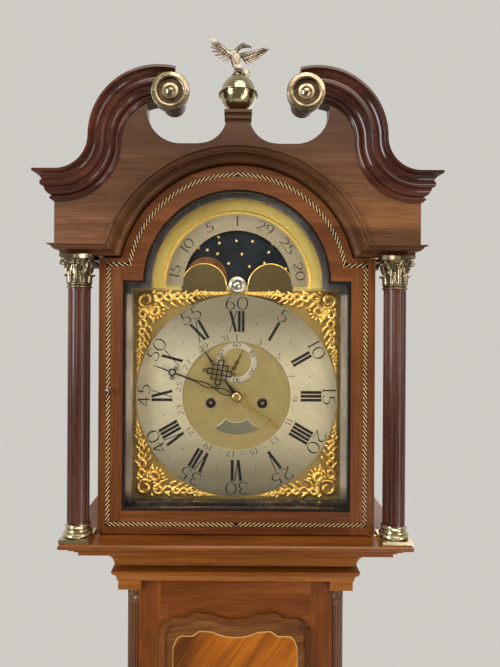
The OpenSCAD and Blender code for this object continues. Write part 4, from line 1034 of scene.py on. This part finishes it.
def veneers(name, outline, insets, back, faces, body, slot):
    """Crossbanding, a box line and a flame panel one inside the other, from depth back to three faces."""
    band, line, flame = Shape(), Shape(), Shape()
    band.loop(outline(insets[0]), outline(insets[1]), back, faces[0])
    line.loop(outline(insets[1]), outline(insets[2]), back, faces[1])
    flame.prism(outline(insets[2]), back, faces[2])
    band.piece(name + "_crossband", "band", body, slot, smooth=CRISP)
    line.piece(name + "_box_line", "box", body, slot, smooth=CRISP)
    flame.piece(name + "_flame_panel", "flame", body, slot, smooth=CRISP)


def trunk_veneers():
    """Laid on the trunk door, inside its lip."""
    face = span("trunk_door")[3]
    veneers("door", door_outline, (0.1, 11.8, 12.9), face, (face + 0.4, face + 0.46, face + 0.4),
            "trunk_door", "door_mahogany")


def base_panel_outline(inset):
    """Outline of the raised panel on the base: a rectangle with hollow corners."""
    wide, low, high, hollow = base_w - 52 - inset, 162 + inset, 458 - inset, 22 + inset
    points = []
    for sx, z, turn in ((1, low, 180), (1, high, 270), (-1, high, 0), (-1, low, 90)):
        points += arc(sx * wide, z, hollow, hollow, turn, turn - 90, 8)
    return points


def base_veneers():
    """Laid on the base's front, a little way into it."""
    veneers("base", base_panel_outline, (8, 22, 23.4), base_b - 0.05,
            (base_b + 0.35, base_b + 0.4, base_b + 0.35), "case", "case_mahogany")


string_pieces()
trunk_veneers()
base_veneers()

# ---------- gilt spandrels ----------


def scroll_path(cx, cy, radius, start, sweep, curl):
    """A spiral in the spandrel's own corner, in mm: the radius falls by the share curl over the sweep."""
    points = []
    for t in shares(23):
        r = radius * (1 - curl * t)
        a = math.radians(start + sweep * t)
        points.append((cx + r * math.cos(a), cy + r * math.sin(a)))
    return points


def spandrel_strokes():
    """One corner of the rococo casting as (points, thickest radius) strokes. The corner is at 0, 0."""
    strokes = []

    def scroll(cx, cy, radius, start, sweep, curl, thick):
        strokes.append((scroll_path(cx, cy, radius, start, sweep, curl), thick))

    def leaf(x, y, length, heading, bend, thick=1.7):
        points = []
        for t in shares(9):
            a = math.radians(heading + bend * t)
            points.append((x, y))
            x += length / 8 * math.cos(a)
            y += length / 8 * math.sin(a)
        strokes.append((points, thick))

    def fringe(centre, radius, angles, length, back, bend, thick):
        """Leaves round a circle on the diagonal, each leaning back from its radius."""
        for a in angles:
            x, y = centre + radius * math.cos(math.radians(a)), centre + radius * math.sin(math.radians(a))
            leaf(x, y, length, a - back, bend, thick)

    scroll(17, 17, 12.5, 40, 470, 0.66, 2.5)
    scroll(33, 33, 9.5, 220, -430, 0.6, 2.1)
    fringe(17, 14.5, range(-40, 131, 17), 7.5, 30, 55, 1.7)
    fringe(33, 10.5, range(-80, 181, 26), 6.5, 20, 60, 1.5)
    in_corner = len(strokes)
    reach, along, side = 9.5, 40, 1
    while along < 150:
        lift = 7.4 + 0.62 * reach if along < 90 else 5.6 + 0.2 * reach
        scroll(along, lift, reach, 180 - side * 90, side * 400, 0.68, min(2.1, 0.4 + reach * 0.22))
        leaf(along - reach, lift + side * reach * 0.2, reach * 1.9, 25 * side, 38 * side,
             min(1.9, reach * 0.24))
        leaf(along + reach * 0.3, lift + reach * 0.7, reach * 1.7, 78, -85, min(1.7, reach * 0.22))
        leaf(along + reach * 0.2, lift - reach * 0.3, reach * 2.1, -18, 30, min(1.6, reach * 0.2))
        along += reach * 1.62
        reach = max(reach * 0.86, 2.3)
        side = -side
    return strokes + [([(y, x) for x, y in points], thick) for points, thick in strokes[in_corner:]]


def spandrel_bar(work, stroke, sx, corner_z, sz):
    """Lays one stroke in a corner of the dial as a swelling bar that stays clear of the chapter ring."""
    points, thick = stroke
    edge = dial_w - 2.5
    low, high = dial_lo + 2, span("spandrels")[5] + 2
    path, radii = [], []
    for t, (x, y) in zip(shares(len(points)), points):
        px, pz = sx * (edge - x), corner_z + sz * y
        away = math.hypot(px, pz - dial_z) - (chapter_r + 1.0)
        fit = max(0.25, min(1.0, away / 2.5))
        if away < 0.4:
            scale = (chapter_r + 1.4) / math.hypot(px, pz - dial_z)
            px, pz = px * scale, dial_z + (pz - dial_z) * scale
        px = max(-edge, min(edge, px))
        pz = max(low, min(high, pz))
        bulge = 0.9 * max(0, math.sin(math.pi * t)) ** 0.6
        place = at(px, dial_b + 0.9 + bulge * thick * 0.45, pz)
        if not path or (place - path[-1]).length > 0.25 * MM:
            path.append(place)
            radii.append(1.55 * thick * fit * (0.28 + 0.72 * math.sin(math.pi * (0.12 + 0.8 * t))))
    if len(path) > 3:
        work.tube(path, radii, sides=7)


def spandrels():
    """Four gilt corner castings with raised scrolls, kept inside the corner left by the chapter ring."""
    work = Shape()
    for sx in (-1, 1):
        for corner_z, sz in ((dial_lo + 2, 1), (span("spandrels")[5] + 2, -1)):
            for stroke in spandrel_strokes():
                spandrel_bar(work, stroke, sx, corner_z, sz)
    work.piece("spandrel_castings", "gilt", "case", "gilt", smooth=60, replaces=["spandrels"])


spandrels()

# ---------- cast brass ----------


def capital_leaves(work, point):
    """Two rows of eight acanthus leaves round the bell."""
    for row, (shift, foot, height, lean, half) in enumerate(((22.5, 7.6, 13.5, 3.9, 7.2),
                                                             (0, 8.0, 26.5, 4.0, 7.4))):
        for k in range(8):
            facing = shift + 45.0 * k
            front, back = [], []
            for t in shares(10):
                rise = foot + height * (math.sin(t * math.pi * 0.56) if t < 0.9 else 0.985 - (t - 0.9) * 1.4)
                out = 16.4 + 0.6 * row + lean * t ** 2.6 + (0.8 if t > 0.85 else 0)
                wide = half * (0.62 + 0.38 * math.sin(t * math.pi)) * (1 - 0.62 * t ** 3)
                wide *= 1 + 0.16 * math.sin(t * 5 * 2 * math.pi)
                cells_f, cells_b = [], []
                for j in range(9):
                    u = -1 + j / 4
                    ridge = 1.5 * (1 - abs(u)) + 0.5 * math.cos(u * 3 * math.pi)
                    turn = math.degrees(u * wide / 18)
                    cells_f.append(point(out + ridge, facing + turn, rise - 1.6 * abs(u) * t))
                    cells_b.append(point(out - 1.4, facing + turn, rise - 1.6 * abs(u) * t - 0.4))
                front.append(cells_f)
                back.append(cells_b)
            work.sheet(front, back)


def capital_volutes(work, point):
    """A large scroll under each corner of the abacus, with a small one on either side of it."""
    for corner in (45, 135, 225, 315):
        across, along = math.sin(math.radians(corner)), math.cos(math.radians(corner))
        path, radii = [], []
        for t in shares(30):
            if t < 0.35:
                s = t / 0.35
                out, height = 18 + 5.0 * s ** 1.6, 24 + 14.5 * s
            else:
                s = (t - 0.35) / 0.65
                a = math.radians(150 - 520 * s)
                r = 4.5 * (1 - 0.78 * s)
                out, height = 26.8 + r * math.cos(a), 36.4 + r * math.sin(a)
            path.append(point(out, corner, height))
            radii.append(1.9 - 0.7 * t)
        work.tube(path, radii, facing=Vector((across, along, 0)), sides=7)
        for lean in (-1, 1):
            inner = []
            for t in shares(16):
                turn = corner + lean * (24 + 9 * min(1, t / 0.3))
                if t < 0.3:
                    inner.append(point(19 + 1.2 * t, turn, 25 + 11 * t / 0.3))
                else:
                    a = math.radians(160 - 400 * (t - 0.3) / 0.7)
                    r = 3.2 * (1 - 0.7 * (t - 0.3) / 0.7)
                    turn += math.degrees(r * math.cos(a) / 22) * lean
                    inner.append(point(21.5 + 0.4 * t, turn, 36.8 + r * math.sin(a)))
            work.tube(inner, [1.1] * len(inner), facing=Vector((along, -across, 0)), sides=6)


def capital_top(work, point, cx, base):
    """The hollow-sided abacus in three layers, with a flower in the middle of each side."""
    abacus = []
    for turn in (0, 90, 180, 270):
        a = math.radians(turn)
        abacus += arc(59 * math.cos(a), 59 * math.sin(a), 40, 40, turn + 180 + 29, turn + 180 - 29, 10)
    for scale, low, high in ((0.93, 43.0, 44.6), (0.985, 44.6, 46.0), (1.0, 46.0, 48.9)):
        rings = [[at(cx + x * scale, column_b - y * scale, base + h) for x, y in abacus] for h in (low, high)]
        work.between(*rings)
    for turn in (0, 90, 180, 270):
        for petal in range(6):
            dx, dz = polar(2.3, 60 * petal)
            work.ball(point(19.2, turn + math.degrees(dx / 19.2), 45.6 + dz), 1.3)
        work.ball(point(20.0, turn, 45.6), 1.4)


def capital(work, cx):
    """A Corinthian capital: bell, two rows of acanthus, corner volutes and a hollow-sided abacus."""
    base = deck_z + 372

    def point(radius, degrees, height):
        a = math.radians(degrees)
        return at(cx + radius * math.cos(a), column_b - radius * math.sin(a), base + height)

    bell = [(0.01, 0), (16.6, 0)] + arc(16.8, 1.8, 1.5, 1.5, -80, 80, 6) + [(16.4, 3.8)]
    bell += arc(16.6, 5.9, 1.3, 1.3, -80, 80, 6)
    bell += [(15.6, 8), (15.6, 22), (16.8, 31), (19.5, 38), (22.5, 43), (0.01, 43)]
    work.revolve(bell, point, 40)
    capital_leaves(work, point)
    capital_volutes(work, point)
    capital_top(work, point, cx, base)


def capitals():
    work = Shape()
    for s in (-1, 1):
        capital(work, s * column_x)
    work.piece("acanthus_capitals", "pale_brass", "hood", "antique_brass", smooth=50,
               replaces=["column_capitals"])


def rosettes():
    """Turned brass bosses on the swan necks, with a tarnished groove, a domed middle and two screws."""
    work, groove = Shape(), Shape()
    outline = [(0.01, 0), (rosette_r, 0), (rosette_r, 1.6)] + arc(25.4, 2.6, 2.0, 2.0, 0, 100, 6)
    outline += [(22.6, 5.4), (19.4, 5.6), (18.4, 5.0), (17.6, 2.2), (12.2, 2.0), (11.4, 3.6)]
    outline += arc(0, -3.2, 10.6, 10.6, 42, 88, 8)
    screw = [(0.01, 0), (1.9, 0), (1.9, 0.5), (1.2, 1.0), (0.01, 1.0)]
    for s in (-1, 1):
        place = turned_at(s * boss_x, boss_z, boss_b)
        work.revolve(outline, place, 56)
        groove.revolve([(12.3, 2.0), (17.5, 2.2), (17.5, 2.5), (12.3, 2.3)], place, 56)
        for side in (-1, 1):
            work.revolve(screw, turned_at(s * boss_x + side * 23.2, boss_z, boss_b + 5.3), 12)
    work.piece("turned_rosettes", "pale_brass", "hood", "antique_brass", smooth=40, replaces=["rosettes"])
    groove.piece("rosette_grooves", "browned", "hood", "antique_brass")


def feather(work, root, heading, length, width, lift=0.0, curve=0.0, thickness=0.9):
    """A flat feather from root (x, b, z), heading in degrees from +X in the X-Z plane, and bent by curve."""
    points = []
    sections = 7
    for t in shares(sections):
        a = math.radians(heading + curve * t)
        x = root[0] + length * t * math.cos(a)
        z = root[2] + length * t * math.sin(a)
        b = root[1] + lift * t
        half = width / 2 * max(0.08, math.sin(math.pi * (0.12 + 0.84 * t)) ** 0.6)
        nx, nz = -math.sin(a) * half, math.cos(a) * half
        thick = thickness * (1 - 0.6 * t)
        points += [at(x + nx, b, z + nz), at(x, b + thick, z), at(x - nx, b, z - nz), at(x, b - thick, z)]
    faces = [(a + k, a + (k + 1) % 4, a + 4 + (k + 1) % 4, a + 4 + k)
             for a in range(0, 4 * sections - 4, 4) for k in range(4)]
    faces += [(3, 2, 1, 0), tuple(range(4 * sections - 4, 4 * sections))]
    work.add(points, faces)


def limb(work, stations, sides=12):
    """A rounded limb of the eagle through (x, depth, z, radius) stations from the ball's top, smoothed."""
    path, radii = [], []
    for i in range(len(stations) - 1):
        p, q, r, s = (stations[min(max(i + k, 0), len(stations) - 1)] for k in (-1, 0, 1, 2))
        for t in (0, 0.25, 0.5, 0.75):
            x, b, z, radius = [0.5 * (2 * v + (w - u) * t + (2 * u - 5 * v + 4 * w - after) * t * t
                                      + (3 * v - u - 3 * w + after) * t ** 3)
                               for u, v, w, after in zip(p, q, r, s)]
            path.append(at(x, finial_b + b, ball_top + z))
            radii.append(max(radius, 0.15))
    x, b, z, radius = stations[-1]
    work.tube(path + [at(x, finial_b + b, ball_top + z)], radii + [radius], sides=sides)


def eagle_body(work):
    """Trunk, neck and head, then beak, legs with three toes each, and the arms of the wings."""
    limb(work, [(12, -3, 2, 0.8), (6, -2, 6, 3.4), (0, 0, 12, 5.6), (-4, 0.5, 20, 6.6), (-6, 1, 28, 5.8),
                (-4.5, 1, 35, 3.9), (0, 1.4, 41, 3.0), (5, 1.8, 44.5, 3.4), (9.5, 2, 44.6, 3.3),
                (13, 2, 43.4, 1.9)])
    limb(work, [(12, 2, 43.8, 2.0), (16, 2, 43.6, 1.5), (18.4, 2, 41.8, 0.9), (18.6, 2, 39.8, 0.2)], 8)
    for x in (-6, 7):
        limb(work, [(-1, 1, 11, 3.2), (x * 0.7, 2, 7, 2.6), (x, 3, 2.5, 1.3), (x, 3, 0.8, 1.1)], 8)
        for toe in (-50, 0, 50):
            dx, db = polar(5.2, toe)
            limb(work, [(x, 3, 1.0, 1.1), (x + dx * 0.5, 3 + db * 0.5, 1.3, 0.9),
                        (x + dx, 3 + db, -1.2, 0.35)], 6)
    limb(work, [(-9, -1, 33, 4.2), (-17, -2, 39, 3.0), (-25, -2.5, 44, 2.0), (-33, -3, 50, 1.1)], 8)
    limb(work, [(2, -1, 31, 3.8), (12, -2, 34.5, 2.9), (24, -2.5, 38, 2.0), (36, -3, 40.5, 1.0)], 8)


def eagle_wings(work):
    """Three overlapping rows of feathers on each wing: long, middle and short ones."""
    far, near, front = finial_b - 2.2, finial_b - 0.6, finial_b + 0.6
    for t in shares(9):
        x, z = -12 - 20 * t, ball_top + 35 + 13.5 * t
        length = 13 + 5 * math.sin(math.pi * t)
        feather(work, (x, far, z), 262 - 128 * t ** 1.2, length, 4.6 - 1.2 * t, curve=-16)
        if t < 1:
            feather(work, (x + 1, near, z + 1), 255 - 105 * t, 8.5, 4.2, curve=-12)
        feather(work, (x + 1.5, front, z + 1.6), 250 - 90 * t, 5.2, 3.6, curve=-10)
    for t in shares(11):
        x, z = 6 + 30 * t, ball_top + 32 + 8 * t
        feather(work, (x, far, z), 292 + 72 * t ** 1.3, 16 - 5.5 * t, 4.6 - 1.3 * t, curve=14)
        feather(work, (x - 0.5, near, z + 0.6), 296 + 58 * t, 9.5 - 2 * t, 4.0, curve=12)
        feather(work, (x - 0.8, front, z + 1.4), 300 + 50 * t, 5.4, 3.4, curve=10)


def eagle_plumage(work):
    """A fan of tail feathers, and small breast feathers in nine rows that follow the trunk."""
    for i in range(5):
        feather(work, (6, finial_b - 3, ball_top + 8), -44 + 16 * i, 12, 4.4, lift=-1, thickness=0.8)
    random.seed(3)
    for row in range(9):
        for k in range(5):
            x = -1.2 - row * 0.55 + (k - 2) * 2.3 + (row % 2) * 1.1
            depth = 5.8 * math.sqrt(max(0.05, 1 - ((x + 1.2 + row * 0.55) / 7.5) ** 2))
            root = (x, finial_b + depth + 0.6, ball_top + (13 + row * 2.7))
            feather(work, root, 262 + random.uniform(-12, 12), 4.4, 2.8, 0.3, thickness=0.5)


def eagle():
    """A cast eagle on the ball: wings spread, head turned to the right, feathers in overlapping rows."""
    work = Shape()
    eagle_body(work)
    eagle_wings(work)
    eagle_plumage(work)
    work.piece("cast_eagle", "eagle", "hood", "antique_brass", smooth=45, replaces=["finial_eagle"])


capitals()
rosettes()
eagle()

# ---------- gut lines ----------


def gut_lines():
    """Two falls to each weight, each a straight line down the span of the weight's line in the frame."""
    travel, rings = 750, 61
    for name, joint in (("going_line", "going_weight_slide"), ("strike_line", "strike_weight_slide")):
        x0, x1, b0, b1, z0, z1 = span(name)
        radius = (b1 - b0) / 2
        work = Shape()
        for x in (x0 + radius, x1 - radius):
            path = [at(x, (b0 + b1) / 2, z0 + (z1 - z0) * i / (rings - 1)) for i in range(rings)]
            work.tube(path, [radius] * rings, sides=10)
        falls = work.piece(name + "_falls", "gut", "case", "gut", replaces=[name])
        tuple(at(0, 0, z1))
        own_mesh(falls)


gut_lines()

# ---------- studio ----------


def pale_floor():
    """A round pale floor, a little mottled."""
    floor = bpy.data.objects.new("floor", bpy.data.meshes.new("floor"))
    work = bmesh.new()
    bmesh.ops.create_circle(work, cap_ends=True, segments=96, radius=1.7)
    work.to_mesh(floor.data)
    work.free()
    bpy.context.scene.collection.objects.link(floor)
    s = Shader("pale_floor", roughness=0.8, specular=0.2)
    s.colour(s.ramp(s.noise(s.coords(), 1.2, 3), [(0.3, (0.66, 0.63, 0.58)), (0.7, (0.72, 0.69, 0.64))]))
    floor.data.materials.append(s.material)


def pale_world():
    """A pale world, dimmer on the side that the clock faces, which its glass and brass reflect."""
    world = bpy.data.worlds.new("studio")
    bpy.context.scene.world = world
    world.use_nodes = True
    tree = world.node_tree
    background = next(n for n in tree.nodes if n.type == "BACKGROUND")
    background.inputs["Strength"].default_value = 1.0
    parts = tree.nodes.new("ShaderNodeSeparateXYZ")
    tree.links.new(tree.nodes.new("ShaderNodeTexCoord").outputs["Generated"], parts.inputs[0])
    ramp = tree.nodes.new("ShaderNodeValToRGB")
    reach = tree.nodes.new("ShaderNodeMapRange")
    reach.inputs["From Min"].default_value = -1
    tree.links.new(parts.outputs["Y"], reach.inputs["Value"])
    tree.links.new(reach.outputs[0], ramp.inputs["Fac"])
    stops = ((0.2, (0.2, 0.175, 0.15, 1)), (0.62, (0.62, 0.6, 0.565, 1)))
    for element, (position, colour) in zip(ramp.color_ramp.elements, stops):
        element.color = colour
        element.position = position
    tree.links.new(ramp.outputs["Color"], background.inputs["Color"])


def lamps():
    """A tall soft window on the left, a ceiling panel, and weaker fill, low and back lights."""
    rows = (
        ("window", (-1.7, -1.5, 2.3), (0, 0, 1.85), (0.7, 1.5), 42, (0.86, 0.93, 1.0)),
        ("ceiling", (0.3, -1.5, 3.3), (0, 0, 1.7), (1.8, 1.0), 30, (1.0, 0.95, 0.88)),
        ("fill", (2.1, -1.9, 1.7), (0, 0, 1.7), (0.9, 1.6), 18, (1.0, 0.94, 0.87)),
        ("low", (1.5, -2.0, 0.5), (0, 0, 0.7), (1.0, 0.8), 14, (1.0, 0.96, 0.9)),
        ("back", (0.6, 2.3, 2.6), (0, 0, 1.4), (1.6, 1.6), 9, (0.95, 0.97, 1.0)),
    )
    for name, place, target, size, power, colour in rows:
        data = bpy.data.lights.new(name, "AREA")
        data.shape = "RECTANGLE"
        data.size, data.size_y = size
        data.energy = power
        data.color = colour
        lamp = bpy.data.objects.new(name, data)
        bpy.context.scene.collection.objects.link(lamp)
        lamp.location = place
        lamp.rotation_euler = (Vector(target) - Vector(place)).to_track_quat("-Z", "Y").to_euler()


def camera():
    """A camera 0.84 m in front of the clock's middle, a third of a metre above the hood's deck."""
    data = bpy.data.cameras.new("camera")
    data.sensor_width = 36
    data.lens = 27.04
    data.clip_start = 0.01
    made = bpy.data.objects.new("camera", data)
    bpy.context.scene.collection.objects.link(made)
    made.location = at(0, 987, deck_z + 329)
    made.rotation_mode = "XYZ"
    data.shift_x, data.shift_y = 0.0195, -0.0232
    level = Matrix.Rotation(math.radians(90), 4, "X")
    made.rotation_euler = (level @ Matrix.Rotation(math.radians(0.33), 4, "Z")).to_euler()
    bpy.context.scene.camera = made


pale_floor()
pale_world()
lamps()
camera()
bpy.context.scene.view_settings.view_transform = "Standard"
